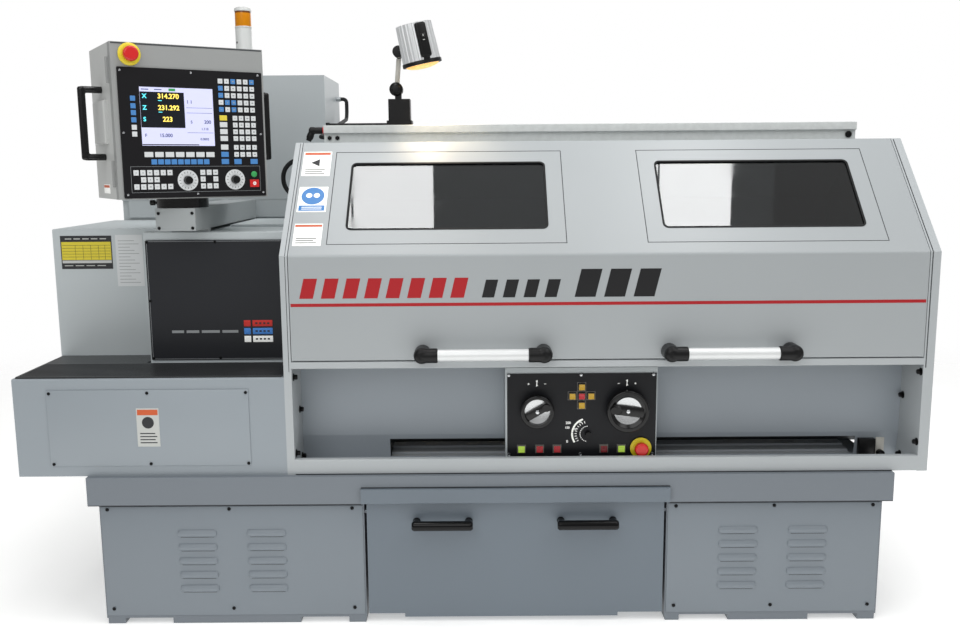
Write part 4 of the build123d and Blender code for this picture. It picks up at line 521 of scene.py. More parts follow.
def spread(name: str, model: Piece, places: Iterable[Matrix]) -> Piece:
    """Copies one model to many places and joins the copies; the model itself goes.

    Args:
        name: The name of the result.
        model: The piece that repeats.
        places: Where each copy goes.

    Returns:
        The joined piece.
    """
    copies = [copy_of(model, f"{name}_part", place) for place in places]
    bpy.data.objects.remove(model)
    return joined(name, copies)


def moulded(name: str, parts: Sequence[Piece], voxel: float = 2.0, rounds: int = 5) -> Piece:
    """Melts overlapping pieces into one body with soft inner corners, as a moulding has.

    Args:
        name: The name of the result.
        parts: The closed pieces that overlap.
        voxel: The fineness of the new skin.
        rounds: How often it is smoothed.

    Returns:
        The moulded body.
    """
    body = joined(name, parts)
    pick(body)
    melt = body.modifiers.new("melt", "REMESH")
    melt.mode = "VOXEL"
    melt.voxel_size = voxel * MM
    bpy.ops.object.modifier_apply(modifier=melt.name)
    ease = body.modifiers.new("ease", "SMOOTH")
    ease.factor = 0.5
    ease.iterations = rounds
    bpy.ops.object.modifier_apply(modifier=ease.name)
    bpy.ops.object.shade_smooth()
    return body


def rounded_ring(name: str, wide: float, tall: float, corner: float, border: float, depth: float) -> Piece:
    """A flat ring with rounded corners, round the origin and standing on it along +Z.

    Args:
        name: Its name.
        wide: Its outer width.
        tall: Its outer height.
        corner: The outer corners' radius.
        border: How wide the ring's band is.
        depth: How high it stands.

    Returns:
        The ring.
    """
    bpy.ops.object.select_all(action="DESELECT")
    bpy.ops.mesh.primitive_plane_add(size=1)
    ring = bpy.context.object
    ring.name = name
    ring.scale = (wide * MM, tall * MM, 1)
    settle(ring)
    with editing(ring):
        bpy.context.tool_settings.mesh_select_mode = (True, False, False)
        bpy.ops.mesh.select_all(action="SELECT")
        bpy.ops.mesh.bevel(offset=corner * MM, segments=6, affect="VERTICES")
        bpy.context.tool_settings.mesh_select_mode = (False, False, True)
        bpy.ops.mesh.select_all(action="SELECT")
        bpy.ops.mesh.inset(thickness=border * MM, depth=0)
        bpy.ops.mesh.delete(type="FACE")
        bpy.ops.mesh.select_all(action="SELECT")
        bpy.ops.mesh.extrude_region_move(TRANSFORM_OT_translate={"value": (0, 0, depth * MM)})
        bpy.ops.mesh.select_all(action="SELECT")
        bpy.ops.mesh.normals_make_consistent(inside=False)
    return ring


def paint(obj: Piece, finish: AnyFinish) -> Piece:
    """Gives a piece one finish all over.

    Args:
        obj: The piece.
        finish: Its surface.

    Returns:
        The same piece.
    """
    obj.data.materials.clear()
    obj.data.materials.append(finish.material())
    return obj


def dress(finish: AnyFinish, *names: str) -> None:
    """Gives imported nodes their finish.

    Args:
        finish: The finish.
        *names: The nodes that take it.
    """
    for name in names:
        paint(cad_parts[name], finish)
        log.info("dressed %s in %s", name, finish.name)


def fit(obj: Piece, finish: AnyFinish, body: str, slot: str, *stands_for: str) -> Piece:
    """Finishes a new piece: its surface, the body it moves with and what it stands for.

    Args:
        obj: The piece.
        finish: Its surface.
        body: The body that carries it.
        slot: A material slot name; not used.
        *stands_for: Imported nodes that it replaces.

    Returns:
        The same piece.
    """
    paint(obj, finish)
    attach(obj, body)
    if stands_for:
        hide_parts(*stands_for)
    log.info("made %s, %d faces, on %s", obj.name, len(obj.data.polygons), body)
    return obj


def fit_layers(body: str, slot: str, *layers: tuple[str, Sequence[Piece], Finish]) -> None:
    """Joins and finishes several pieces that share a body and a slot.

    Args:
        body: The body that carries them.
        slot: Their material slot, handed on to fit.
        *layers: Each piece's name, its parts and its surface.
    """
    for name, parts, finish in layers:
        fit(joined(name, parts), finish, body, slot)


@dataclass(frozen=True)
class Face:
    """A flat side of the machine: x runs to the right on it, y up, and z out of it."""

    origin: Point
    right: Point
    up: Point

    @property
    def matrix(self) -> Matrix:
        """From the side's own coordinates to the machine's."""
        right, up = Vector(self.right).normalized(), Vector(self.up).normalized()
        out = right.cross(up)
        turn = Matrix((right, up, out)).transposed().to_4x4()
        return Matrix.Translation(Vector(self.origin) * MM) @ turn

    def at(self, x: float, y: float, z: float = 0.0, spin: float = 0.0) -> Matrix:
        """The place of a piece on this side.

        Args:
            x: To the right.
            y: Up.
            z: Out of the side.
            spin: Turn about the outward direction, in degrees.

        Returns:
            The matrix that puts a piece there.
        """
        spot = Matrix.Translation((x * MM, y * MM, z * MM))
        return self.matrix @ spot @ Matrix.Rotation(math.radians(spin), 4, "Z")

    def tile(self, name: str, x: Ring, y: Ring, z: Ring, bevel: float = 0.0, segments: int = 2) -> Piece:
        """A flat piece on this side.

        Args:
            name: Its name.
            x: From left to right.
            y: From bottom to top.
            z: From its back to its front, counted out of the side.
            bevel: The rounding of its edges.
            segments: Faces round each edge.

        Returns:
            The new piece.
        """
        return placed(block(name, (x[0], y[0], z[0]), (x[1], y[1], z[1]), bevel, segments), self.matrix)

    def frame(self, name: str, x: Ring, y: Ring, z: Ring, border: float) -> Piece:
        """A flat rectangular ring on this side.

        Args:
            name: Its name.
            x: From left to right, outside.
            y: From bottom to top, outside.
            z: From its back to its front.
            border: The width of the ring.

        Returns:
            The new piece.
        """
        sides = [
            ((x[0], x[1]), (y[0], y[0] + border)),
            ((x[0], x[1]), (y[1] - border, y[1])),
            ((x[0], x[0] + border), (y[0] + border, y[1] - border)),
            ((x[1] - border, x[1]), (y[0] + border, y[1] - border)),
        ]
        return joined(name, [self.tile(name, across, high, z) for across, high in sides])

    def text(
        self, name: str, words: str, x: float, y: float, z: float, size: float, weight: float = 0.0
    ) -> Piece:
        """Plain figures or letters lying on this side, made into a mesh.

        Args:
            name: The piece's name.
            words: What it says.
            x: Its left end.
            y: Its foot.
            z: How far in front of the side it lies.
            size: The height of its letters.
            weight: How much its strokes are thickened, as a share of size.

        Returns:
            The new piece.
        """
        bpy.ops.object.select_all(action="DESELECT")
        bpy.ops.object.text_add()
        obj = bpy.context.object
        obj.name = name
        obj.data.body = words
        obj.data.size = size * MM
        obj.data.extrude = size * 0.01 * MM
        obj.data.offset = size * weight * MM
        bpy.ops.object.convert(target="MESH")
        return placed(bpy.context.object, self.at(x, y, z))


def front_face(y: float) -> Face:
    """The upright side that faces the operator at depth y, with x and z of the machine as its own."""
    return Face((0.0, y, 0.0), (1, 0, 0), (0, 0, 1))


def button_head(radius: float) -> Piece:
    """A low screw head with a hexagon socket.

    Args:
        radius: The head's radius.

    Returns:
        The head, standing on the origin along +Z.
    """
    head = turned(
        "screw_head",
        [(radius, 0.0), (radius, radius * 0.25), (radius * 0.72, radius * 0.6), (radius * 0.42, radius * 0.66)],
        sides=12,
    )
    with editing(head):
        bpy.ops.mesh.select_all(action="DESELECT")
    choose_faces(head, lambda centre, normal: normal.z > 0.95 and centre.z > radius * 0.6 * MM)
    with editing(head):
        bpy.ops.mesh.inset(thickness=radius * 0.06 * MM, depth=-radius * 0.35 * MM)
    return head


def screws(name: str, face: Face, places: Iterable[Ring], z: float, radius: float) -> Piece:
    """Screw heads on one side of the machine.

    Args:
        name: The piece's name.
        face: The side.
        places: Where each head sits.
        z: How far out of the side its seat is.
        radius: The heads' radius.

    Returns:
        The joined heads.
    """
    return spread(name, button_head(radius), [face.at(x, y, z) for x, y in places])


# Studio


@dataclass
class Studio:
    """The pale floor, the soft lights and the camera of the studio."""

    camera_place: Point = (30.5, -3250.4, 1315.2)
    lens: float = 36.19
    pitch: float = 9.108
    yaw: float = -0.13
    roll: float = 0.428
    floor_reach: float = 24000.0
    fade_span: Ring = (2600.0, 5200.0)
    fill_power: float = 0.36
    softboxes: tuple[tuple[str, Point, Point, float, float], ...] = (
        ("key_softbox", (-1200, -3600, 3300), (0, -400, 700), 3.2, 52),
        ("fill_softbox", (2500, -2500, 4100), (300, -300, 800), 2.6, 36),
        ("top_softbox", (0, -500, 4300), (0, -500, 0), 3.6, 60),
        ("back_softbox", (400, 3600, 3000), (0, 0, 900), 3.0, 36),
    )
    card_spans: tuple[Ring, ...] = ((-820, -225), (830, 1363))
    card_strips: tuple[tuple[float, float, float], ...] = ((0.0, 0.26, 3.2), (0.28, 1.0, 8.8))
    card_y: float = -550.0
    card_depth: float = 900.0
    card_height: float = 3600.0

    def build(self) -> None:
        """Adds the floor, the lights and the camera."""
        self.add_floor()
        self.add_lights()
        self.add_camera()

    def add_floor(self) -> None:
        """Adds the plain floor, which thins out into the white of the studio away from the machine."""
        bpy.ops.object.select_all(action="DESELECT")
        bpy.ops.mesh.primitive_grid_add(x_subdivisions=4, y_subdivisions=4, size=self.floor_reach * MM)
        floor = bpy.context.object
        floor.name = "floor"
        paint(floor, FLOOR_PALE)
        tree = FLOOR_PALE.material().node_tree
        place = tree.nodes.new("ShaderNodeTexCoord")
        reach = tree.nodes.new("ShaderNodeVectorMath")
        reach.operation = "LENGTH"
        fade = tree.nodes.new("ShaderNodeMapRange")
        fade.interpolation_type = "SMOOTHSTEP"
        near, far = self.fade_span
        set_inputs(fade, from_min=near * MM, from_max=far * MM, to_min=1.0, to_max=0.0)
        tree.links.new(place.outputs["Object"], reach.inputs[0])
        tree.links.new(reach.outputs["Value"], fade.inputs["Value"])
        tree.links.new(fade.outputs["Result"], tree.nodes["Principled BSDF"].inputs["Alpha"])

    def add_lights(self) -> None:
        """Adds the white surroundings, the softboxes and the light cards over the windows."""
        world = bpy.data.worlds.new("studio_air")
        world.use_nodes = True
        tree = world.node_tree
        air = set_inputs(tree.nodes["Background"], color=(1.0, 1.0, 1.0, 1.0))
        seen = tree.nodes.new("ShaderNodeLightPath")
        power = set_inputs(tree.nodes.new("ShaderNodeMapRange"), to_min=self.fill_power, to_max=1.0)
        tree.links.new(seen.outputs["Is Camera Ray"], power.inputs["Value"])
        tree.links.new(power.outputs["Result"], air.inputs["Strength"])
        bpy.context.scene.world = world
        bpy.context.scene.view_settings.view_transform = "Standard"
        for name, place, target, side, power in self.softboxes:
            lamp = self.softbox(name, place, target, (side, side), power)
            lamp.visible_glossy = name != "top_softbox"
        for number, (left, right) in enumerate(self.card_spans, 1):
            for index, (start, end, power) in enumerate(self.card_strips):
                x = left + (right - left) * (start + end) / 2
                size = ((right - left) * (end - start) * MM, self.card_depth * MM)
                name = f"window_card_{number}_{index + 1}"
                self.softbox(name, (x, self.card_y, self.card_height), (x, self.card_y, 0), size, power)

    def softbox(self, name: str, place: Point, target: Point, size: Ring, power: float) -> Piece:
        """Adds one rectangular area light that looks at a point and isn't seen itself.

        Args:
            name: The light's name.
            place: Where it hangs.
            target: What it points at.
            size: Its width and height, in metres.
            power: Its strength in watts.

        Returns:
            The light.
        """
        bpy.ops.object.light_add(type="AREA", location=[value * MM for value in place])
        lamp = bpy.context.object
        lamp.name = name
        lamp.data.shape = "RECTANGLE"
        lamp.data.size, lamp.data.size_y = size
        lamp.data.energy = power
        lamp.visible_camera = False
        aim = (Vector(target) - Vector(place)).to_track_quat("-Z", "Y")
        lamp.rotation_euler = aim.to_euler()
        return lamp

    def add_camera(self) -> None:
        """Adds the camera with the viewing angle of the picture."""
        pitch, yaw, roll = (math.radians(angle) for angle in (self.pitch, self.yaw, self.roll))
        ahead = Vector((math.sin(yaw) * math.cos(pitch), math.cos(yaw) * math.cos(pitch), -math.sin(pitch)))
        level = Vector((math.cos(yaw), -math.sin(yaw), 0))
        down = ahead.cross(level)
        right = math.cos(roll) * level + math.sin(roll) * down
        below = -math.sin(roll) * level + math.cos(roll) * down
        data = bpy.data.cameras.new("camera")
        data.lens = self.lens
        data.sensor_width = 36.0
        data.sensor_fit = "HORIZONTAL"
        camera = bpy.data.objects.new("camera", data)
        bpy.context.scene.collection.objects.link(camera)
        turn = Matrix((right, -below, -ahead)).transposed().to_4x4()
        camera.matrix_world = Matrix.Translation(Vector(self.camera_place) * MM) @ turn
        bpy.context.scene.camera = camera


# Base, coolant drawer and the housing under the headstock


@dataclass
class BaseUnit:
    """The base with its covers, the coolant drawer and the headstock's base housing."""

    cover_left: tuple[float, ...] = (-1051, -700.6, -347)
    cover_right: tuple[float, ...] = (583, 865, 1148)
    cover_heights: Ring = (350, 47)
    panel_places: tuple[float, ...] = (-1196, -918, -639)
    panel_heights: Ring = (691, 484)
    label_x: Ring = (-952, -888)
    label_z: Ring = (535, 647)
    cover_spans: tuple[Ring, ...] = ((-1071, -317), (561, 1171))
    cover_z: Ring = (26, 358)
    grip_places: tuple[float, ...] = (-87, 327.5)
    grip_z: float = 308.5
    cover_front: float = FRONT - 9
    panel_front: float = FRONT - 3
    band_front: float = FRONT - 18
    louvre_rings: tuple[Ring, ...] = (
        (5, -57), (9.5, -55.5), (12, -52), (13, -47), (13, 47), (12, 52), (9.5, 55.5), (5, 57),
    )
    louvre_pitch: float = 42.0
    louvre_middle: float = 193.0
    band_joints: tuple[tuple[Ring, Ring], ...] = (
        ((-1102, -320), (363.2, 365)),
        ((564, 1200), (363.2, 365)),
        ((-319, 563), (412.6, 414.4)),
    )
    rail_joint_and_shadow: tuple[Ring, Ring] = ((-506, 1199), (447.2, 449.8))

    def build(self) -> None:
        """Dresses the nodes and adds louvred covers, grips, dark joint lines that are partly painted shadow, screws and
        the label plate.
        """
        # The base, covers, drawer and gearbox housing take darker copies of the machine grey: painted shade low on the
        # machine.
        dress(BASE_GREY_PAINTED_SHADE, "base_frame")
        dress(COVER_GREY_PAINTED_SHADE, "access_covers")
        dress(TANK_GREY_PAINTED_SHADE, "coolant_tank")
        dress(BLACK_GLOSS, "tank_handles")
        dress(HOUSING_GREY_PAINTED_SHADE, "gearbox_housing")
        dress(MAT_RUBBER, "platform_mat")
        self.add_covers()
        self.add_grips()
        # Dark strips along the band's edges and the rail's foot: real joints, with the shadow under the band's overhang
        # painted in.
        band = front_face(self.band_front)
        runs = [band.tile("joint", span, heights, (0.05, 0.4)) for span, heights in self.band_joints]
        runs.append(front_face(FRONT).tile("joint", *self.rail_joint_and_shadow, (0.05, 0.5)))
        fit(joined("band_joints", runs), LABEL_INK, "machine", "paint_cover")
        covers = front_face(self.cover_front)
        spots = [(x, z) for x in self.cover_left + self.cover_right for z in self.cover_heights]
        fit(screws("cover_screws", covers, spots, 0.2, 5.2), BLACK_STEEL, "machine", "steel")
        panel = front_face(self.panel_front)
        spots = [(x, z) for x in self.panel_places for z in self.panel_heights]
        fit(screws("panel_screws", panel, spots, 0.2, 4.6), BLACK_STEEL, "machine", "steel")
        self.add_label(panel)

    def add_covers(self) -> None:
        """Adds the two pedestal covers with their pressed louvres and the headstock base's front panel."""
        covers = front_face(self.cover_front)
        sheets = [covers.tile("sheet", span, self.cover_z, (-2.9, 0), 1.2) for span in self.cover_spans]
        fit(joined("pedestal_covers", sheets), COVER_GREY_PAINTED_SHADE, "machine", "paint_cover", "access_covers")
        middles = [(left + right) / 2 + side * 100 for left, right in self.cover_spans for side in (-1, 1)]
        heights = [self.louvre_middle + self.louvre_pitch * row for row in range(-2, 3)]
        spots = [covers.at(x - 2, z) for x in middles for z in heights]
        lying = Matrix.Translation((0, 0, -6 * MM)) @ Matrix.Rotation(math.pi / 2, 4, "Y")
        louvre = placed(turned("louvre", self.louvre_rings, 40), lying)
        fit(spread("cover_louvres", louvre, spots), COVER_GREY_PAINTED_SHADE, "machine", "paint_cover", "access_covers")
        # A dark strip under each louvre: painted shadow in the louvre's opening.
        mouth = block("mouth", (-48, -12.6, 0.02), (48, -11.4, 0.2))
        fit(spread("louvre_mouths", mouth, spots), LABEL_INK, "machine", "paint_cover")
        panel = front_face(self.panel_front).tile("gear_panel", (-1205, -632), (478, 700), (-2.9, 0), 1.2)
        fit(panel, HOUSING_GREY_PAINTED_SHADE, "machine", "paint_machine", "access_covers")

    def add_grips(self) -> None:
        """Adds the coolant drawer's two thick black grips."""
        low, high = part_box("tank_handles")
        foot, front = high.y / MM, low.y / MM
        parts = []
        for x in self.grip_places:
            bar = turned("bar", [(10, -87), (14, -82), (14, 82), (10, 87)], 28)
            parts.append(placed(bar, Face((x, front + 14.4, self.grip_z), (0, 1, 0), (0, 0, 1)).matrix))
            for side in (-1, 1):
                post = turned("post", [(11.5, 0), (11.5, 3), (9.5, 6), (9.5, foot - front - 14)], 24)
                parts.append(placed(post, front_face(foot).at(x + side * 75, self.grip_z)))
        fit(moulded("tank_grips", parts, 1.8, 4), GRIP_BLACK, "coolant_drawer", "handle_black", "tank_handles")

    def add_label(self, panel: Face) -> None:
        """Adds the small plate in the middle of the front panel: a coloured head field over plain rows.

        Args:
            panel: The face of the front panel.
        """
        x, z = self.label_x, self.label_z
        plate = [panel.tile("plate", x, z, PLATE_LAYER)]
        head = [panel.tile("head", (x[0] + 3, x[1] - 3), (z[1] - 20, z[1] - 4), PRINT_LAYER)]
        rows = []
        for i in range(4):
            foot = z[0] + 10 + 9 * i
            rows.append(panel.tile("row", (x[0] + 8, x[1] - 8 - 5 * (i % 2)), (foot, foot + 3), PRINT_LAYER))
        shape = placed(turned("ring", [(17, 0.7), (17, 0.9)], 24), panel.at((x[0] + x[1]) / 2, z[1] - 42))
        fit_layers(
            "machine",
            "plate_black",
            ("panel_label", plate, LABEL_PALE),
            ("panel_label_head", head, LABEL_ORANGE),
            ("panel_label_print", rows + [shape], LABEL_INK),
        )


# Headstock, end cover, spindle and chuck


@dataclass
class HeadstockUnit:
    """The headstock with its black front plate, the gear end cover and the chuck."""

    plate_y: float = FRONT + 211
    cover_y: float = FRONT + 334
    screw_spots: tuple[Ring, ...] = (
        (-966, 1100), (-763, 1100), (-544.5, 1100), (-966, 924), (-966, 749), (-763, 749), (-544.5, 749),
    )
    chip_columns: tuple[Ring, ...] = ((-688, -668), (-662, -602))
    chip_rows: tuple[Ring, ...] = ((845, 864), (821, 840), (797, 816))
    word_spans: tuple[Ring, ...] = ((-906, -870), (-862, -824), (-816, -762), (-754, -706))

    def build(self) -> None:
        """Dresses the nodes and adds trim."""
        dress(MACHINE_GREY, "headstock", "end_cover")
        dress(RANGE_PLATE, "headstock_plate")
        dress(BRIGHT_STEEL, "spindle", "chuck_jaw_1", "chuck_jaw_2", "chuck_jaw_3")
        dress(CHUCK_STEEL, "chuck_body")
        plate = front_face(self.plate_y)
        fit(screws("headstock_screws", plate, self.screw_spots, 0.1, 4.2), BLACK_STEEL, "machine", "steel")
        inset = plate.frame("headstock_plate_line", (-968, -542), (746, 1103), (0.1, 0.35), 1.1)
        fit(inset, LABEL_GREY, "machine", "plate_black")
        self.add_chips(plate)
        self.add_tables()

    def add_chips(self, plate: Face) -> None:
        """Adds the red, blue and white fields at the plate's lower right corner.

        Args:
            plate: The face of the black plate.
        """
        colours = {"red": CHIP_RED, "blue": CHIP_BLUE, "white": LABEL_WHITE_PAINTED_GLOW}
        for (low, high), (word, finish) in zip(self.chip_rows, colours.items()):
            tiles = [plate.tile("chip", column, (low, high), (0.1, 0.6), 0.2) for column in self.chip_columns]
            fit(joined(f"range_field_{word}", tiles), finish, "machine", "plate_black")
        marks = []
        for low, high in self.chip_rows:
            for left in range(-654, -617, 12):
                marks.append(plate.tile("mark", (left, left + 7), (low + 7, high - 7), (0.6, 0.8)))
        words = [plate.tile("word", span, (826, 834), INK_LAYER) for span in self.word_spans]
        layers = (("range_marks", marks, LABEL_INK), ("range_words", words, LABEL_GREY))
        fit_layers("machine", "plate_black", *layers)

    def add_tables(self) -> None:
        """Adds the two plates on the end cover: a yellow table with a dark head and a white sheet."""
        cover = front_face(self.cover_y)
        plate = [cover.tile("plate", (-1277, -1118), (1010, 1113), (0.1, 0.8))]
        field = [cover.tile("field", (-1274, -1121), (1038, 1094), (0.8, 1.0))]
        pale = [cover.tile("foot", (-1274, -1121), (1028, 1036.5), (0.8, 1.0))]
        pale += [cover.tile("word", (-1262 + 27 * i, -1242 + 27 * i), (1102, 1105), (0.8, 0.95)) for i in range(5)]
        pale += [cover.tile("word", (-1268 + 34 * i, -1242 + 34 * i), (1019, 1021.5), (0.8, 0.95)) for i in range(4)]
        dark = [cover.tile("rule", (-1272, -1123), (z, z + 0.9), (1.0, 1.15)) for z in range(1047, 1084, 9)]
        columns = (-1232, -1208, -1184, -1160, -1140)
        dark += [cover.tile("rule", (x, x + 0.9), (1039, 1084), (1.0, 1.15)) for x in columns]
        sheet = [cover.tile("sheet", (-1106, -1022), (955, 1115), (0.1, 0.8))]
        rows = []
        for i in range(14):
            foot = 966 + 10 * i
            rows.append(cover.tile("row", (-1098, -1034 - 14 * (i % 3)), (foot, foot + 1.6), (0.8, 0.95)))
        fit_layers(
            "machine",
            "plate_black",
            ("table_plate", plate, LABEL_INK),
            ("table_yellow", field, LABEL_YELLOW),
            ("table_bands", pale, LABEL_PALE),
            ("table_lines", dark, LABEL_INK),
            ("sheet_plate", sheet, KEY_WHITE),
            ("sheet_rows", rows, LABEL_GREY),
        )


# Guard frame, chamber, top beam and the hinged door


@dataclass
class GuardUnit:
    """The fixed guard around the work space, with the beam on top and what hangs on it."""

    beam_left_bolts: tuple[float, ...] = (-436, -412)
    bolt_z: float = 1406.0
    beam_y: float = FRONT + 370
    panel_y: float = FRONT + 124
    elbow_seat: Point = (-453, FRONT + 400, 1430)
    elbow_reach: float = 41.0
    gland_rings: tuple[Ring, ...] = ((10, 0), (10, 12), (11, 13), (11, 24), (8.5, 28), (8.5, 34))

    def build(self) -> None:
        """Dresses the nodes and adds bolts and fittings."""
        dress(GUARD_GREY, "guard_frame")
        dress(INNER_GREY, "rear_guard", "chip_panel")
        dress(COVER_STRIP, "way_cover")
        dress(CAST_GREY, "bed")
        dress(BRIGHT_STEEL, "ball_screw")
        dress(BEAM_GREY, "top_beam")
        dress(BLACK_RUBBER, "beam_cables")
        self.add_beam_trim()
        self.add_wall_bolts()
        self.add_return()

    def add_beam_trim(self) -> None:
        """Adds the beam's bolts and the ringed elbow fitting with its gland."""
        beam = front_face(self.beam_y)
        heads = []
        for x in self.beam_left_bolts:
            heads.append(placed(turned("bolt", [(7, 0), (7, 5), (5, 6.5)], 6, 0.4), beam.at(x, self.bolt_z, 0.2)))
        heads.append(placed(turned("cap", [(10, 0), (10, 5), (7, 8)], 24, 0.5), beam.at(1163, self.bolt_z, 0.2)))
        fit(joined("beam_bolts", heads), BLACK_STEEL, "machine", "steel")
        run = Face(self.elbow_seat, (0, 0, 1), (0, 1, 0))
        parts = [
            placed(turned("run", [(9, 0), (9, 8), (10.5, 10), (10.5, self.elbow_reach)], 28), run.matrix),
            placed(turned("heel", [(6, -11), (11.5, -6), (11.5, 6), (6, 11)], 28), run.at(0, 0, self.elbow_reach)),
            placed(turned("gland", self.gland_rings, 28), self.gland_place()),
        ]
        fit(moulded("beam_elbow", parts, 1.4, 3), BLACK_PLASTIC, "machine", "cable_black")
        ring = turned("elbow_ring", [(10.8, 3), (11.6, 3.6), (11.6, 7.4), (10.8, 8)], 32)
        fit(placed(ring, run.matrix), RED_RING, "machine", "button_red")

    def gland_place(self) -> Matrix:
        """The place of the elbow's gland, which points down and a little to the left."""
        heel = Vector(self.elbow_seat) - Vector((self.elbow_reach, 0, 0))
        turn = Vector((-0.42, 0, -1)).to_track_quat("Z", "Y").to_matrix().to_4x4()
        return Matrix.Translation(heel * MM) @ turn

    def add_return(self) -> None:
        """Adds the black block and the pale bracket with its black hub at the slot's right end."""
        panel = front_face(self.panel_y)
        box = panel.tile("return_block", (1147, 1196), (457, 510), (-6, 13), 3)
        fit(box, BLACK_PLASTIC, "machine", "plastic_black")
        plate = panel.tile("return_bracket", (1199, 1224), (458, 512), (0, 5), 1.2)
        fit(plate, STEM_GREY, "machine", "steel")
        hub = placed(turned("return_hub", [(11, 0), (11, 16), (8, 20), (5, 21)], 24, 0.8), panel.at(1211, 466, 5))
        fit(hub, BLACK_STEEL, "machine", "steel")

    def add_wall_bolts(self) -> None:
        """Adds the black bolt heads on the inner faces of the front bay's end walls."""
        left = Face((-508, 0, 0), (0, 1, 0), (0, 0, 1))
        right = Face((1271, 0, 0), (0, -1, 0), (0, 0, 1))
        washer = turned("washer", [(11, 0), (11, 1.6), (10, 2.2)], 24)
        model = joined("bolt", [washer, turned("head", [(7.5, 2), (7.5, 10), (6, 12)], 6, 0.5)])
        spots = [left.at(FRONT + y, z, 0.2) for y, z in ((24, 728), (100, 615), (24, 505), (112, 470))]
        spots += [right.at(-(FRONT + y), z, 0.2) for y, z in ((14, 734), (120, 642), (12, 530), (116, 463))]
        fit(spread("wall_bolts", model, spots), BLACK_STEEL, "machine", "steel")


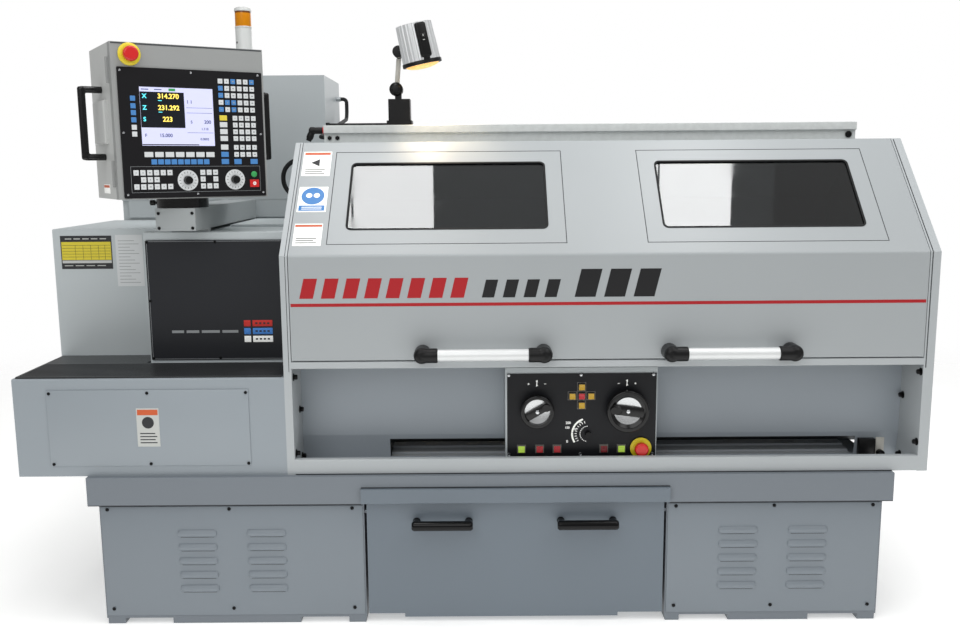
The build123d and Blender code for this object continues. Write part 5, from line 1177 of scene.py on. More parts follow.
@dataclass
class GuardDoor:
    """The door: sheet panel with fold, two windows in black gaskets, stripe, dashes and two tube handles."""

    span: Ring = (-506, 1269)
    stripe_z: Ring = (933, 942)
    fold_z: float = 1075.0
    slope_rise: Ring = (311, 316)
    pane_centres: tuple[float, ...] = (-67, 830)
    pane_size: Ring = (571, 260)
    pane_middle: float = 224.5
    seam_size: Ring = (673, 362)
    seam_middle: float = 221.0
    handle_centres: tuple[float, ...] = (32.5, 722.5)
    handle_z: float = 802.0
    handle_length: float = 384.0
    tube_stand: float = 50.0
    lobe_radius: float = 23.0
    collar_length: float = 44.0
    dash_foot: float = 956.0
    plate_spots: tuple[tuple[Ring, Ring], ...] = (
        ((-500, -416), (304, 404)),
        ((-499, -415), (162, 260)),
        ((-498, -418), (36, 118)),
    )

    @property
    def front(self) -> Face:
        """The door's upright front."""
        return front_face(FRONT)

    @property
    def slope(self) -> Face:
        """The door's leaning upper part."""
        return Face((0, FRONT, self.fold_z), (1, 0, 0), (0, self.slope_rise[0], self.slope_rise[1]))

    def build(self) -> None:
        """Dresses the nodes and adds trim."""
        dress(DOOR_GREY, "door_panel")
        dress(GLASS, "window_panes")
        self.add_stripe()
        self.add_gaskets()
        self.add_labels()
        self.add_handles()

    def add_stripe(self) -> None:
        """Adds the red stripe along the door and the slanted dashes above it."""
        stripe = self.front.tile("door_stripe", (self.span[0] + 3, self.span[1] - 3), self.stripe_z, (0.05, 0.25))
        fit(stripe, STRIPE_RED, "guard_door", "button_red")
        red = [self.dash(-478 + 60 * i, 38, 56) for i in range(8)]
        fit(joined("dashes_red", red), STRIPE_RED, "guard_door", "button_red")
        black = [self.dash(30 + 58 * i, 34, 50) for i in range(4)]
        black += [self.dash(288 + 82 * i, 58, 78) for i in range(3)]
        fit(joined("dashes_black", black), STRIPE_BLACK, "guard_door", "plate_black")

    def dash(self, x: float, wide: float, tall: float) -> Piece:
        """One slanted plain dash on the door's front.

        Args:
            x: Its lower left corner.
            wide: Its width.
            tall: Its height.

        Returns:
            The dash.
        """
        low = self.dash_foot
        tile = block("dash", (x, low, 0.05), (x + wide, low + tall, 0.25))
        choose_faces(tile, lambda centre, normal: normal.y > 0.9)
        with editing(tile):
            bpy.ops.transform.translate(value=(tall * 0.24 * MM, 0, 0))
        return placed(tile, self.front.matrix)

    def add_gaskets(self) -> None:
        """Adds the black rubber gasket and the seam round each pane, and the seams at the door's ends."""
        wide, tall = self.pane_size
        rims = []
        for centre in self.pane_centres:
            ring = rounded_ring("gasket", wide + 3, tall + 3, 17, 5.5, 3)
            rims.append(placed(ring, self.slope.at(centre, self.pane_middle, -1.6)))
        fit(joined("window_gaskets", rims), BLACK_RUBBER, "guard_door", "rubber_black")
        seams = []
        for centre in self.pane_centres:
            x = (centre - self.seam_size[0] / 2, centre + self.seam_size[0] / 2)
            y = (self.seam_middle - self.seam_size[1] / 2, self.seam_middle + self.seam_size[1] / 2)
            seams.append(self.slope.frame("seam", x, y, (-0.6, 0.06), 1.8))
        fit(joined("window_seams", seams), SEAM_DARK, "guard_door", "paint_guard")
        low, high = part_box("door_panel")
        ends = ((low.x / MM + 0.4, low.x / MM + 2.2), (high.x / MM - 3.6, high.x / MM - 0.4))
        runs = [self.slope.tile("run", x, (0, 440), (-0.6, 0.08)) for x in ends]
        runs += [self.front.tile("run", x, (748, 1074), (-0.6, 0.08)) for x in ends]
        fit(joined("door_end_seams", runs), SEAM_DARK, "guard_door", "paint_guard")

    def add_labels(self) -> None:
        """Adds the three plates at the slope's left end, with plain shapes on them."""
        slope = self.slope
        white = [slope.tile("plate", x, y, PLATE_LAYER, 0.2) for x, y in self.plate_spots]
        blue = [slope.tile("field", (-494, -420), (167, 187), PRINT_LAYER, 0.1)]
        blue.append(placed(turned("disc", [(33, 0.7), (33, 0.9)], 40), slope.at(-457, 224)))
        orange = [slope.tile("bar", (-496, -420), y, PRINT_LAYER) for y in ((390, 400), (106, 114))]
        bars = [placed(turned("oval", [(9, 0.9), (9, 1.1)], 24), slope.at(x, 226)) for x in (-468, -446)]
        rows = [slope.tile("row", (-486, -428), (y, y + 2.6), (0.9, 1.1)) for y in (172, 179)]
        ink = []
        for foot in (312, 320, 328, 46, 54, 62):
            right = -440 if foot in (320, 54) else -432
            ink.append(slope.tile("row", (-490, right), (foot, foot + 2.5), PRINT_LAYER))
        ink.append(placed(turned("ring", [(17, 0.7), (17, 0.9)], 3), slope.at(-458, 358, 0, 90)))
        fit_layers(
            "guard_door",
            "plate_black",
            ("door_plates", white, LABEL_WHITE_PAINTED_GLOW),
            ("door_plate_blue", blue, LABEL_BLUE),
            ("door_plate_bars", orange, LABEL_ORANGE),
            ("door_plate_disc", bars + rows, LABEL_WHITE_PAINTED_GLOW),
            ("door_plate_print", ink, LABEL_INK),
        )

    def add_handles(self) -> None:
        """Adds the two handles: a bright tube in two moulded black brackets each."""
        dress(BLACK_PLASTIC, "door_handles")
        reach, lobe, collar = self.handle_length / 2, self.lobe_radius, self.collar_length
        tube_half = reach - lobe - collar + 3
        sleeve = turned("sleeve", [(16.5, -tube_half), (16.5, tube_half)], 40)
        brackets, tubes, recesses = [], [], []
        for x in self.handle_centres:
            rail = Face((x, FRONT - self.tube_stand, self.handle_z), (0, 1, 0), (0, 0, 1))
            tubes.append(rail.matrix)
            for side in (-1, 1):
                middle = x + side * (reach - lobe)
                base = turned("lobe", [(lobe - 1.5, 0), (lobe, 3), (lobe, 54), (lobe - 3, 63), (lobe - 11, 69)], 36)
                arm = turned("collar", [(20.5, 0), (20.5, collar - 2), (19, collar)], 36)
                start = Matrix.Translation(((middle - x) * MM, 0, 0)) @ rail.matrix
                if side > 0:
                    start = start @ Matrix.Rotation(math.pi, 4, "X")
                brackets += [placed(base, self.front.at(middle, self.handle_z)), placed(arm, start)]
                recesses.append((middle - side * 2, self.handle_z - 1))
        fit(moulded("handle_brackets", brackets, 2.0, 4), BLACK_PLASTIC, "guard_door", "handle_black", "door_handles")
        fit(spread("handle_sleeves", sleeve, tubes), TUBE_WHITE, "guard_door", "steel", "door_handles")
        fit(screws("handle_screws", self.front, recesses, 65.6, 6.5), BLACK_STEEL, "guard_door", "steel")


# Carriage, panel with wheels and buttons, tailstock


@dataclass
class CarriageUnit:
    """The carriage with its black operator's panel, and the tailstock."""

    face_y: float = FRONT + 52
    screw_x: tuple[float, ...] = (105.7, 313.5, 521.6)
    screw_z: Ring = (722.5, 488)
    jog_centre: Ring = (315.5, 661.5)
    jog_pitch: float = 27.0
    jog_steps: tuple[Ring, ...] = ((0, 0), (0, 1), (0, -1), (-1, 0), (1, 0))
    button_z: float = 504.0
    button_x: tuple[float, ...] = (142, 195, 245.5, 381.5, 432)
    rim_half: float = 12.6
    wheel_left: Ring = (186.5, 622)
    wheel_right: Ring = (446.0, 622)
    stop_centre: Ring = (488, 506)
    knob_centre: Ring = (335.0, 548.0)
    wheel_stand: float = 12.0
    wheel_depth: float = 26.0
    wheel_rim: float = 11.0
    crank_reach: float = 31.0
    scale_arcs: tuple[tuple[tuple[int, int, int], float, Ring], ...] = (
        ((112, 131, 3), 46, (2.6, 2.2)),
        ((134, 172, 3), 46, (2.6, 2.2)),
        ((177, 212, 3), 46, (2.6, 2.2)),
        ((106, 226, 12), 36, (3.2, 0.9)),
        ((98, 262, 14), 23, (1.0, 1.7)),
    )
    scale_words: tuple[tuple[str, float, float, float], ...] = (
        ("200", 270, 578, 10),
        ("150", 268, 564, 9),
        ("100", 304, 581, 8),
        ("50", 294, 560, 8),
        ("0", 272, 522, 11),
    )

    @property
    def panel(self) -> Face:
        """The front of the black plate."""
        return front_face(self.face_y)

    def build(self) -> None:
        """Dresses the nodes and adds the panel's trim."""
        dress(SLIDE_GREY, "saddle", "cross_slide", "tailstock")
        dress(BRIGHT_STEEL, "tool_post", "quill")
        dress(CHROME, "tail_wheel")
        dress(MACHINE_GREY, "apron_housing")
        dress(BLACK_PLATE, "apron_plate")
        dress(BLACK_PLASTIC, "override_knob")
        dress(STOP_RED, "apron_stop")
        dress(BLACK_GLOSS, "handwheel_left", "handwheel_right")
        spots = [(x, z) for x in self.screw_x for z in self.screw_z]
        fit(screws("plate_screws", self.panel, spots, 0.1, 5.4), CHROME, "carriage", "steel")
        self.add_jog_buttons()
        self.add_push_buttons()
        self.add_scale()
        self.add_collar()
        self.add_wheel_trim("left", self.wheel_left, 48.5, 0.96, 30)
        self.add_wheel_trim("right", self.wheel_right, 61, 0.8, 172)

    def cap(self, name: str, side: float) -> Piece:
        """A square button cap with a shallow dished face.

        Args:
            name: Its name.
            side: The length of its side.

        Returns:
            The cap, standing on the origin along +Z.
        """
        cap = block(name, (-side / 2, -side / 2, 0), (side / 2, side / 2, 3.2), 1.0, 3)
        choose_faces(cap, lambda centre, normal: normal.z > 0.99)
        with editing(cap):
            bpy.ops.mesh.inset(thickness=1.6 * MM, depth=-0.5 * MM)
        return cap

    def add_jog_buttons(self) -> None:
        """Gives the five jog buttons coloured lenses in steel rims."""
        for name in ("centre", "up", "down", "left", "right"):
            dress(BEZEL_STEEL, f"jog_{name}")
            low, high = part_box(f"jog_{name}")
            x, z = (low.x + high.x) / 2 / MM, (low.z + high.z) / 2 / MM
            stand = self.face_y - low.y / MM
            lens = placed(self.cap(f"jog_lens_{name}", 17), self.panel.at(x, z, stand + 0.1))
            fit(lens, LENS_RED if name == "centre" else LENS_AMBER, f"jog_{name}", "button_amber")

    def add_push_buttons(self) -> None:
        """Gives the row of push buttons lenses, one colour a piece."""
        dress(BEZEL_STEEL, "push_buttons")
        across, high = self.jog_centre
        spots = [(across + i * self.jog_pitch, high + j * self.jog_pitch) for i, j in self.jog_steps]
        spots += [(x, self.button_z) for x in self.button_x]
        half = self.rim_half
        rims = [self.panel.frame("rim", (x - half, x + half), (z - half, z + half), (0.1, 0.5), 1.3) for x, z in spots]
        fit(joined("button_frames", rims), BEZEL_STEEL, "carriage", "plastic_black")
        stand = self.face_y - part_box("push_buttons")[0].y / MM
        first, second, third, fourth, fifth = self.button_x
        rows = {"green": (first, fifth), "red": (second, third), "dark_red": (fourth,)}
        for (word, places), finish in zip(rows.items(), (LENS_GREEN, LENS_RED, LENS_DARK_RED)):
            spots = [self.panel.at(x, self.button_z, stand + 0.1) for x in places]
            fit(spread(f"push_lenses_{word}", self.cap("cap", 19), spots), finish, "carriage", "button_red")

    def add_scale(self) -> None:
        """Adds the white arc scale left of the override knob with its figures, and the marks over the wheels."""
        marks = []
        for arc, radius, half in self.scale_arcs:
            marks += [self.scale_mark(angle, radius, half) for angle in range(*arc)]
        for word, x, z, size in self.scale_words:
            marks.append(self.panel.text("figure", word, x, z, 0.1, size, 0.02))
        for (wheel_x, _), signs in ((self.wheel_left, "+-"), (self.wheel_right, "-+")):
            marks.append(self.panel.tile("stem", (wheel_x - 1.2, wheel_x + 1.2), (694, 704), INK_LAYER))
            for z, spin in ((692.5, -90), (705.5, 90)):
                marks.append(placed(turned("tip", [(4, 0.1), (4, 0.3)], 3), self.panel.at(wheel_x, z, 0, spin)))
            for sign, side in zip(signs, (-24, 24)):
                middle = wheel_x + side
                marks.append(self.panel.tile("sign", (middle - 3, middle + 3), (696.2, 697.8), INK_LAYER))
                if sign == "+":
                    marks.append(self.panel.tile("sign", (middle - 0.8, middle + 0.8), (694, 700), INK_LAYER))
        fit(joined("panel_scale", marks), LABEL_WHITE_PAINTED_GLOW, "carriage", "plate_black")

    def scale_mark(self, angle: float, radius: float, half: Ring) -> Piece:
        """One short white mark of the override knob's scale.

        Args:
            angle: Where it is round the knob, in degrees.
            radius: How far from the knob's centre.
            half: Half its length towards the knob, and half its width.

        Returns:
            The mark.
        """
        x = self.knob_centre[0] + radius * math.cos(math.radians(angle))
        z = self.knob_centre[1] + radius * math.sin(math.radians(angle))
        mark = block("tick", (-half[0], -half[1], 0.1), (half[0], half[1], 0.3))
        return placed(mark, self.panel.at(x, z, 0, angle))

    def add_collar(self) -> None:
        """Adds the yellow collar under the emergency stop."""
        collar = turned("stop_collar", [(31, 4.2), (31, 6.4), (28, 7.6), (14, 7.6), (14, 4.2)], 48)
        fit(placed(collar, self.panel.at(*self.stop_centre)), STOP_YELLOW, "carriage", "button_red")

    def add_wheel_trim(self, side: str, centre: Ring, radius: float, share: float, crank: float) -> None:
        """Adds the wheel's bright dish in its black well, the cover of the crossbar and its nut.

        Args:
            side: Which wheel.
            centre: The wheel's centre.
            radius: Its outer radius.
            share: The dish's share of the room inside the rim.
            crank: The crossbar's angle, in degrees.
        """
        floor = self.wheel_stand + self.wheel_depth * 0.4
        seat = self.wheel_stand + self.wheel_depth * 0.75
        inner = radius - self.wheel_rim - 0.3
        wide = inner * share
        body = f"handwheel_{side}"
        rings = [(inner, floor + 0.05), (inner, seat + 3), (wide, floor + 5.6), (wide, floor + 0.1)]
        well = placed(turned(f"wheel_well_{side}", rings, 56), self.panel.at(*centre))
        fit(well, BLACK_GLOSS, body, "handle_black")
        edge = wide - 0.2
        rings = [(edge, floor + 0.2), (edge, floor + 4.6), (wide * 0.8, floor + 2.8), (wide * 0.4, floor + 1)]
        dish = placed(turned(f"wheel_dish_{side}", rings, 56), self.panel.at(*centre))
        fit(dish, DISH_BRIGHT, body, "steel")
        bar = block("bar", (-inner, -radius * 0.24, floor + 1), (inner, radius * 0.24, seat + 0.5), 3, 3)
        boss = turned("boss", [(13.5, floor + 1), (13.5, seat + 5), (11, seat + 7)], 36)
        boss = placed(boss, Matrix.Translation((self.crank_reach * MM, 0, 0)))
        bar = placed(joined(f"wheel_bar_{side}", [bar, boss]), self.panel.at(*centre, 0, crank))
        fit(bar, BLACK_GLOSS, body, "handle_black")
        nut = turned(f"wheel_nut_{side}", [(6.5, 0), (6.5, 3), (4.5, 5)], 24, 0.4)
        fit(placed(nut, self.panel.at(*centre, seat + 0.55)), CHROME, body, "steel")


# Control console


@dataclass
class ConsoleUnit:
    """The swivelling console: housing, hinged front with its black panel, screen, keys, dials and stop."""

    arm_y: float = FRONT + 90
    corner: Point = (-952.3, FRONT - 22.7, 1233.6)
    turn: float = 32.4
    plate_low: Ring = (14, 3)
    plate_proud: float = 3.0
    screen: tuple[Ring, Ring] = ((55, 256), (142, 300))
    readout: tuple[Ring, Ring] = ((55, 175), (191, 287))
    dial_places: tuple[Ring, ...] = ((173.6, 47.4), (309, 47.8))
    dial_radius: float = 28.6
    dial_ticks: int = 16
    stop_place: Ring = (49, 386.5)
    width: float = 420.0
    grip_heights: Ring = (116, 300)
    grip_stand: float = 54.0
    grip_back: float = 132.0
    readout_rows: tuple[tuple[str, str, float, float], ...] = (
        ("X", "314.270", 103, 270),
        ("Z", "231.292", 103, 239),
        ("S", "223", 114, 208),
    )
    screen_words: tuple[tuple[str, float, float, float], ...] = (
        ("15.000", 103, 166, 13),
        ("1 1", 181, 258, 13),
        ("200", 228, 204, 13),
        ("1.110", 219, 186, 9),
        ("0.0002", 215, 158, 9),
        ("S", 190, 204, 11),
        ("F", 64, 166, 12),
    )
    start_place: Ring = (364.9, 62.3)
    halt_place: Ring = (366, 36.1)
    number_rows: tuple[float, ...] = (220.6, 201.6, 182.5, 163.6, 138.8, 118.7)
    screw_places: tuple[Ring, ...] = (
        (7.6, 341), (197.7, 341.8), (388.5, 342.5), (7.9, 176.4),
        (390.8, 176.7), (9.8, 9.8), (200.3, 9.6), (391.6, 10.2),
    )

    def side(self, u: float, v: float, out: float) -> Face:
        """A face parallel to the console's front.

        Args:
            u: To the right of the housing's lower front corner.
            v: Above it.
            out: In front of it.

        Returns:
            The face.
        """
        angle = math.radians(self.turn)
        right = Vector((math.cos(angle), math.sin(angle), 0))
        normal = Vector((math.sin(angle), -math.cos(angle), 0))
        origin = Vector(self.corner) + right * u + normal * out + Vector((0, 0, v))
        return Face(tuple(origin), tuple(right), (0, 0, 1))

    @property
    def plate(self) -> Face:
        """The front of the black panel."""
        return self.side(self.plate_low[0], self.plate_low[1], self.plate_proud)

    def build(self) -> None:
        """Dresses the nodes and adds the controls."""
        dress(ARM_GREY, "console_arm")
        dress(BLACK_GLOSS, "slewing_ring", "console_handles")
        dress(BLACK_PLASTIC, "lock_knob", "selector_knob_1", "selector_knob_2")
        dress(CONSOLE_GREY, "console_box")
        dress(FRONT_GREY, "console_front")
        dress(PANEL_BLACK, "console_plate")
        dress(STOP_RED, "console_stop")
        self.add_grips()
        arm = front_face(self.arm_y)
        spots = [(x, z) for x in (-886, -790.5) for z in (1191, 1149)]
        fit(screws("arm_screws", arm, spots, 0.1, 4.6), BLACK_STEEL, "machine", "steel")
        self.add_screen()
        self.add_keys()
        self.add_dials()
        self.add_trim()

    def add_grips(self) -> None:
        """Adds the two thick tube handles on the console's sides."""
        low, high = self.grip_heights
        parts = []
        for wall, outwards in ((0.0, -1), (self.width, 1)):
            stand = self.side(wall + outwards * self.grip_stand, 0, -self.grip_back)
            bar = turned("bar", [(7, low - 8), (10.4, low - 4), (10.4, high + 4), (7, high + 8)], 28)
            parts.append(placed(bar, Matrix.Translation(Vector(stand.origin) * MM)))
            for v in (low, high):
                seat = self.side(wall, v, -self.grip_back)
                run = Face(seat.origin, (0, 0, 1), tuple(Vector((0, 0, 1)).cross(Vector(seat.right)) * -outwards))
                post = turned("post", [(9.4, 0), (9.4, self.grip_stand)], 28)
                parts.append(placed(post, run.matrix))
        fit(moulded("console_grips", parts, 1.8, 4), BLACK_GLOSS, "console", "handle_black", "console_handles")

    def add_screen(self) -> None:
        """Adds the lit screen with a dark position readout and plain fields."""
        plate = self.plate
        print_z, figure_z = (-0.5, -0.45), -0.44
        (left, right), (low, high) = self.screen
        (dark_left, dark_right), (dark_low, dark_high) = self.readout
        glass = [plate.tile("glass", (left + 0.5, right - 0.5), (low + 0.5, high - 0.5), (-0.9, -0.5))]
        dark = [plate.tile("field", (dark_left + 1, dark_right), (dark_low, dark_high), print_z)]
        dark.append(plate.tile("foot", (left + 1, right - 45), (low + 2, low + 4.5), print_z))
        rows = self.readout_rows
        figures = [plate.text("figure", number, x, z, figure_z, 18, 0.025) for _, number, x, z in rows]
        letters = [plate.text("letter", letter, 62, z, figure_z, 16, 0.03) for letter, _, _, z in rows]
        letters += [plate.tile("dash", (104, 114), (z - 7, z - 5), (figure_z, -0.4)) for _, _, _, z in rows[:2]]
        light = [plate.text("number", word, x, z, figure_z, size, 0.02) for word, x, z, size in self.screen_words]
        light += [plate.tile("rule", (180, 252), (z, z + 1), print_z) for z in (246, 232, 178)]
        light += [plate.tile("head", (60 + 35 * i, 80 + 35 * i), (292, 294.5), print_z) for i in range(2)]
        state = [plate.tile("state", (134, 152), (290, 297), print_z)]
        fit_layers(
            "console_front",
            "plastic_black",
            ("screen_glass", glass, SCREEN_LIGHT),
            ("screen_readout", dark, SCREEN_DARK),
            ("screen_figures", figures, SCREEN_AMBER),
            ("screen_axes", letters, SCREEN_CYAN),
            ("screen_numbers", light, SCREEN_BLUE),
            ("screen_state", state, KEY_GREEN),
        )

    def key(self, wide: float, tall: float) -> Piece:
        """One raised key cap.

        Args:
            wide: Its width.
            tall: Its height.

        Returns:
            The cap, standing on the origin along +Z.
        """
        cap = block("key", (-wide / 2, -tall / 2, 0), (wide / 2, tall / 2, 1.6), 0.7, 2)
        choose_faces(cap, lambda centre, normal: normal.z > 0.99)
        with editing(cap):
            bpy.ops.mesh.inset(thickness=0.5 * MM, depth=0)
        return cap

    def key_group(self, name: str, size: Ring, places: Sequence[Ring], finish: Finish) -> None:
        """Adds a group of keys of one size and colour.

        Args:
            name: The piece's name.
            size: Width and height of a cap.
            places: The centres of the caps on the panel.
            finish: Their colour.
        """
        plate = self.plate
        made = spread(name, self.key(*size), [plate.at(u, v, 0.05) for u, v in places])
        fit(made, finish, "console_front", "plate_black")

    def add_keys(self) -> None:
        """Adds every key of the panel, sorted by size and colour."""
        square = (13.5, 13.5)
        left = [(36.6, v) for v in (268, 248, 230, 211, 191, 173)]
        self.key_group("keys_left_blue", square, left[:4], KEY_BLUE)
        self.key_group("keys_left_white", square, left[4:], KEY_WHITE)
        self.key_group("keys_under_screen", (23.5, 14), [(70.8 + 28.3 * i, 118.3) for i in range(7)], KEY_WHITE)
        self.key_group("keys_under_screen_blue", (15.5, 14), [(84.1 + 18.1 * i, 98.4) for i in range(9)], KEY_BLUE)
        blue = {(0, 2), (0, 5), (1, 0), (2, 0), (3, 1), (3, 2), (4, 0), (4, 2)}
        upper = {(row, column): (278.4 + 18.2 * column, 322.3 - 19.5 * row) for row in range(5) for column in range(6)}
        self.key_group("keys_upper_blue", square, [spot for key, spot in upper.items() if key in blue], KEY_BLUE)
        self.key_group("keys_upper_white", square, [spot for key, spot in upper.items() if key not in blue], KEY_WHITE)
        wide = (21.5, 14.5)
        self.key_group("key_yellow", wide, [(282.6, 220.7)], KEY_YELLOW)
        self.key_group("keys_wide_white", wide, [(282.6, v) for v in (202, 182.6, 163.5, 139.3)], KEY_WHITE)
        wide_blue = [(282.6, 118.9), (282.6, 98.8), (319.5, 98.5), (367.4, 98.6)]
        self.key_group("keys_wide_blue", wide, wide_blue, KEY_BLUE)
        numbers = [(316.4 + 18 * i, v) for v in self.number_rows for i in range(4)]
        self.key_group("keys_numbers", square, numbers, KEY_WHITE)
        lower = [(33.7 + 18.2 * i, v) for v in (69, 30.8) for i in range(6)] + [(52.7 + 18 * i, 50) for i in range(3)]
        ring = [(216.3 + 18.1 * i, v) for i in range(3) for v in (68.7, 50.1, 30.8) if (i, v) != (1, 50.1)]
        self.key_group("keys_lower", (14, 14.5), lower + ring, KEY_WHITE)
        self.add_key_marks(list(upper.values()) + numbers + lower + ring)
        self.key_group("key_start_seat", (22, 21), [self.start_place], BLACK_PLASTIC)
        start = turned("key_start", [(8.5, 1.6), (8.5, 4), (7, 4.8)], 32)
        fit(placed(start, self.plate.at(*self.start_place)), KEY_GREEN, "console_front", "button_amber")
        self.key_group("key_halt", (27, 21.5), [self.halt_place], STOP_RED)
        mark = turned("halt_mark", [(5, 1.65), (5, 1.85), (3.6, 1.85), (3.6, 1.65)], 24)
        fit(placed(mark, self.plate.at(*self.halt_place)), LABEL_WHITE_PAINTED_GLOW, "console_front", "plate_black")

    def add_key_marks(self, places: Sequence[Ring]) -> None:
        """Adds a small plain mark on each white key.

        Args:
            places: The keys' centres.
        """
        plate = self.plate
        marks = []
        for index, (u, v) in enumerate(places):
            wide, tall = ((4.5, 1.2), (2.2, 3.8), (5.2, 3.2))[index % 3]
            marks.append(plate.tile("mark", (u - wide / 2, u + wide / 2), (v - tall / 2, v + tall / 2), (1.7, 1.8)))
        fit(joined("key_marks", marks), LABEL_GREY, "console_front", "plate_black")

    def add_dials(self) -> None:
        """Adds the two pale scale discs with their ticks, round the selector knobs."""
        plate = self.plate
        discs = []
        ticks = []
        for u, v in self.dial_places:
            rings = [(self.dial_radius, 0.05), (self.dial_radius, 0.5), (13, 0.5), (13, 0.05)]
            discs.append(placed(turned("disc", rings, 48), plate.at(u, v)))
            for step in range(self.dial_ticks):
                spot = plate.at(u, v, 0, 360 / self.dial_ticks * step)
                ticks.append(placed(block("tick", (19.5, -0.5, 0.55), (24.5, 0.5, 0.65)), spot))
        layers = (("dial_discs", discs, KEY_WHITE), ("dial_ticks", ticks, LABEL_INK))
        fit_layers("console_front", "plate_black", *layers)

    def add_trim(self) -> None:
        """Adds the stop's collar, the plate's screws, the frame line, the lid seam and the side label."""
        front = self.side(0, 0, 0)
        collar = turned("console_collar", [(30, 0.1), (30, 4.6), (27, 7.2), (22, 8.6), (13.2, 8.6), (13.2, 0.1)], 48)
        fit(placed(collar, front.at(*self.stop_place)), STOP_YELLOW, "console_front", "button_red")
        heads = screws("console_screws", self.plate, self.screw_places, 0.05, 3.2)
        fit(heads, CHROME, "console_front", "steel")
        line = self.plate.frame("console_line", (20, 384), (15, 86), (0.05, 0.3), 0.7)
        fit(line, LABEL_GREY, "console_front", "plate_black")
        lid = front.tile("console_lid_seam", (3, 417), (412.8, 416.4), (0.05, 0.5))
        fit(lid, SEAM_DARK, "console_front", "rubber_black")
        cheek = self.cheek()
        label = cheek.tile("cheek_label", (-180, -105), (15, 40), (0.1, 0.6), 0.1)
        fit(label, LABEL_WHITE_PAINTED_GLOW, "console", "plate_black")
        fit(cheek.tile("cheek_label_head", (-178, -107), (31, 38), (0.6, 0.8)), LABEL_ORANGE, "console", "plate_black")

    def cheek(self) -> Face:
        """The console's left side, with x running from the back to the front."""
        angle = math.radians(self.turn)
        forward = (math.sin(angle), -math.cos(angle), 0)
        return Face(self.corner, forward, (0, 0, 1))


# Electrical cabinet and signal lamp


@dataclass
class CabinetUnit:
    """The electrical cabinet with its rear door, and the signal lamp on its roof."""

    beacon_foot: Point = (-841.5, FRONT + 1020, 0)
    cap_rings: tuple[Ring, ...] = ((30.6, 1884.5), (30.8, 1889), (29.6, 1895), (22, 1899), (8, 1899.8))
    door_back: float = FRONT + 1220.4
    door_x: Ring = (-1261, -525)
    hinge_z: tuple[float, ...] = (640, 1060, 1480)
    lock_z: tuple[float, ...] = (760, 1360)
    switch: Ring = (-893, 1300)
    vent_x: tuple[float, ...] = (-1060, -726)
    vent_z: tuple[float, ...] = (600, 618, 636, 654, 672, 690)

    def build(self) -> None:
        """Dresses the nodes and adds trim."""
        dress(CABINET_GREY, "cabinet", "cabinet_door")
        dress(BEACON_WHITE, "beacon_body")
        dress(BEACON_AMBER, "beacon_lens")
        self.add_beacon_cap()
        self.add_rear_trim()

    def add_beacon_cap(self) -> None:
        """Adds the pale cap, the amber glass, the dark band between them, the collar and a screw."""
        foot = Matrix.Translation(Vector(self.beacon_foot) * MM)
        rounds = (
            ("cap", BEACON_WHITE, "beacon_white", self.cap_rings),
            ("glass", BEACON_AMBER, "beacon_amber", [(28.4, 1829.2), (28.8, 1830), (28.8, 1878.5)]),
            ("band", BEACON_BAND, "beacon_amber", [(28.9, 1878), (28.9, 1884.6)]),
            ("collar", BEACON_WHITE, "beacon_white", [(29.8, 1824), (30.4, 1825), (30.4, 1829.6), (28.6, 1831)]),
        )
        for word, finish, slot, rings in rounds:
            stands_for = ("beacon_lens",) if word == "glass" else ()
            fit(placed(turned(f"beacon_{word}", rings, 48), foot), finish, "machine", slot, *stands_for)
        spot = Face((self.beacon_foot[0] - 20.5, self.beacon_foot[1] - 21.5, 1772), (0.73, -0.69, 0), (0, 0, 1))
        screw = placed(turned("beacon_screw", [(3.6, 0), (3.6, 0.8), (2.6, 1.2)], 16), spot.matrix)
        fit(screw, BLACK_STEEL, "machine", "steel")

    def add_rear_trim(self) -> None:
        """Adds the rear door's hinges, locks and air slots, and the main switch's plate, ring and grip."""
        rear = Face((0, self.door_back, 0), (-1, 0, 0), (0, 0, 1))
        spots = [rear.at(-self.door_x[0] - 14, z) for z in self.hinge_z]
        leaf = block("leaf", (-16, -34, 0.05), (16, 34, 2.6), 0.9)
        upright = Face((0, 0, 3), (1, 0, 0), (0, 0, -1))
        pin = placed(turned("pin", [(5, -36), (5.6, -34), (5.6, 34), (5, 36)], 20), upright.matrix)
        fit(spread("door_hinges", joined("hinge", [leaf, pin]), spots), BLACK_STEEL, "cabinet_door", "steel")
        spots = [rear.at(-self.door_x[1] + 26, z) for z in self.lock_z]
        lock = turned("lock", [(14, 0.05), (14, 2.4), (12.5, 3.4), (9, 3.4), (9, 2), (3.4, 2), (3.4, 4.4)], 32)
        fit(spread("door_locks", lock, spots), CHROME, "cabinet_door", "steel")
        across, high = -self.switch[0], self.switch[1]
        plate = rounded_ring("switch_plate", 64, 64, 4, 5.5, 0.5)
        fit(placed(plate, rear.at(across, high, 3.05)), STOP_YELLOW, "cabinet_door", "button_red")
        knob = turned("switch_ring", [(24.2, 3.1), (24.6, 4), (24.6, 14.6), (22.8, 15.4)], 40)
        fit(placed(knob, rear.at(across, high)), STOP_RED, "cabinet_door", "button_red")
        bar = block("switch_grip", (-6.4, -22.6, 15.2), (6.4, 22.6, 28.6), 2.4, 3)
        fit(placed(bar, rear.at(across, high)), STOP_RED, "cabinet_door", "button_red")
        vents = [(-x, z) for x in self.vent_x for z in self.vent_z]
        slats = [rear.tile("slat", (x - 62, x + 62), (z, z + 7), (0.05, 5.2), 2.4) for x, z in vents]
        fit(joined("door_vents", slats), CABINET_GREY, "cabinet_door", "paint_machine")
        # A dark strip under each slat: painted shade in the air slot's opening.
        mouths = [rear.tile("mouth", (x - 58, x + 58), (z - 2.4, z), (0.05, 0.4)) for x, z in vents]
        fit(joined("door_vent_mouths", mouths), LABEL_INK, "cabinet_door", "paint_machine")


# Work lamp


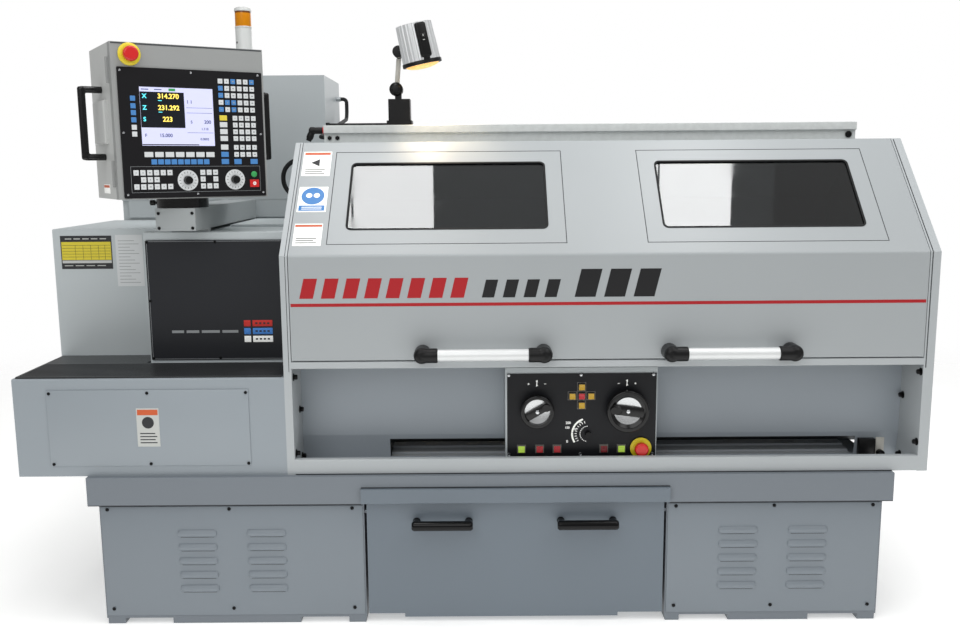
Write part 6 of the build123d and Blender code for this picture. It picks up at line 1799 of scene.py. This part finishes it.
@dataclass
class WorkLamp:
    """The jointed work lamp with its fluted shade."""

    top: Point = (-169, FRONT + 332, 1738)
    bottom: Point = (-144, FRONT + 338, 1621)
    joint: Point = (-229.5, FRONT + 409.9, 1553)
    elbow: Point = (-219.5, FRONT + 409.9, 1664)
    elbow_cap_y: float = FRONT + 371.3
    joint_cap_y: float = FRONT + 386.9
    glow_power: float = 4.5
    glow_colour: Point = (1.0, 0.80, 0.55)
    glow_angle: float = 95.0

    def build(self) -> None:
        """Dresses the nodes and adds trim."""
        dress(BLACK_PLASTIC, "lamp_base", "lamp_stem")
        dress(ALUMINIUM, "lamp_head")
        self.add_light()
        self.add_stem()
        self.add_strip()
        self.add_glow()

    @property
    def axis(self) -> Vector:
        """The shade's axis, from its top to its mouth."""
        return (Vector(self.bottom) - Vector(self.top)).normalized()

    @property
    def mouth(self) -> Face:
        """The shade's open end, which looks along the axis."""
        side = self.axis.cross(Vector((0, 1, 0))).normalized()
        return Face(self.bottom, tuple(side), tuple(self.axis.cross(side)))

    def add_light(self) -> None:
        """Adds the black bezel and the glowing lens under the shade."""
        bezel = turned("lamp_bezel", [(59.4, -10), (60, -9), (60, 0.6), (58, 1.4), (51.5, 1.4), (51.5, -2.4)], 56)
        fit(placed(bezel, self.mouth.matrix), BLACK_PLASTIC, "lamp_head", "handle_black")
        lens = turned("lamp_glow", [(51.4, -2.4), (51.4, 1), (46, 5), (36, 8.5), (22, 11), (8, 12)], 48)
        fit(placed(lens, self.mouth.matrix), LAMP_WARM, "lamp_head", "lamp_metal")

    def add_stem(self) -> None:
        """Adds the pale sleeve on the stem and the black caps of its two joints."""
        low, high = Vector(self.joint), Vector(self.elbow)
        reach = (high - low).length
        turn = (high - low).to_track_quat("Z", "Y").to_matrix().to_4x4()
        sleeve = turned("lamp_sleeve", [(6.4, 19), (7.6, 20), (7.6, reach - 19), (6.4, reach - 18)], 28)
        fit(placed(sleeve, Matrix.Translation(low * MM) @ turn), STEM_GREY, "lamp_stem", "lamp_metal")
        rear = front_face(self.elbow_cap_y).at(high.x, high.z)
        cap = turned("lamp_elbow_cap", [(12, 3.2), (16.4, 2.6), (17.8, 1.2), (17.8, -30.2)], 36)
        fit(placed(cap, rear), BLACK_PLASTIC, "lamp_head", "handle_black")
        grip = turned("lamp_joint_cap", [(21, 0), (21, 2), (15, 8), (12.5, 9), (12.5, 16), (10, 18)], 24, 0.8)
        front = front_face(self.joint_cap_y).at(low.x, low.z)
        fit(placed(grip, front), BLACK_PLASTIC, "machine", "handle_black")

    def add_strip(self) -> None:
        """Adds the black switch housing down the shade's front, with its rocker."""
        across = Vector((math.cos(math.radians(20)), math.sin(math.radians(20)), 0))
        up = -self.axis
        right = (across - up * across.dot(up)).normalized()
        middle = (Vector(self.bottom) + Vector(self.top)) / 2
        side = Face(tuple(middle), tuple(right), tuple(up))
        housing = block("strip", (-17, -44, 50), (17, 57, 65), 7.5, 4)
        foot = block("foot", (-10, -56, 50), (10, -36, 61), 3, 2)
        fit(placed(joined("lamp_switch_box", [housing, foot]), side.matrix), BLACK_PLASTIC, "lamp_head", "handle_black")
        rocker = block("lamp_rocker", (-7.5, 0, 64.6), (7.5, 24, 67), 1.2, 3)
        fit(placed(rocker, side.matrix), BLACK_GLOSS, "lamp_head", "handle_black")
        marks = [side.tile("mark", (-1, 1), (15, 21), (67.0, 67.15)), side.tile("mark", (-3, 3), (4, 6), (67.0, 67.15))]
        fit(joined("lamp_rocker_marks", marks), LABEL_PALE, "lamp_head", "plate_black")

    def add_glow(self) -> None:
        """Adds the warm light that the lamp throws on the guard's top."""
        bpy.ops.object.select_all(action="DESELECT")
        spot = Vector(self.bottom) + self.axis * 30
        bpy.ops.object.light_add(type="SPOT", location=spot * MM)
        glow = bpy.context.object
        glow.name = "lamp_light"
        glow.data.energy = self.glow_power
        glow.data.color = self.glow_colour
        glow.data.spot_size = math.radians(self.glow_angle)
        glow.data.spot_blend = 0.8
        glow.data.shadow_soft_size = 0.04
        glow.rotation_euler = self.axis.to_track_quat("-Z", "Y").to_euler()


def main() -> None:
    """Builds every sub-assembly in order."""
    kinds = (
        Studio, BaseUnit, HeadstockUnit, GuardUnit, GuardDoor, CarriageUnit, ConsoleUnit, CabinetUnit, WorkLamp,
    )
    for kind in kinds:
        log.info("building %s", kind.__name__)
        kind().build()


if __name__ == "__main__":
    main()
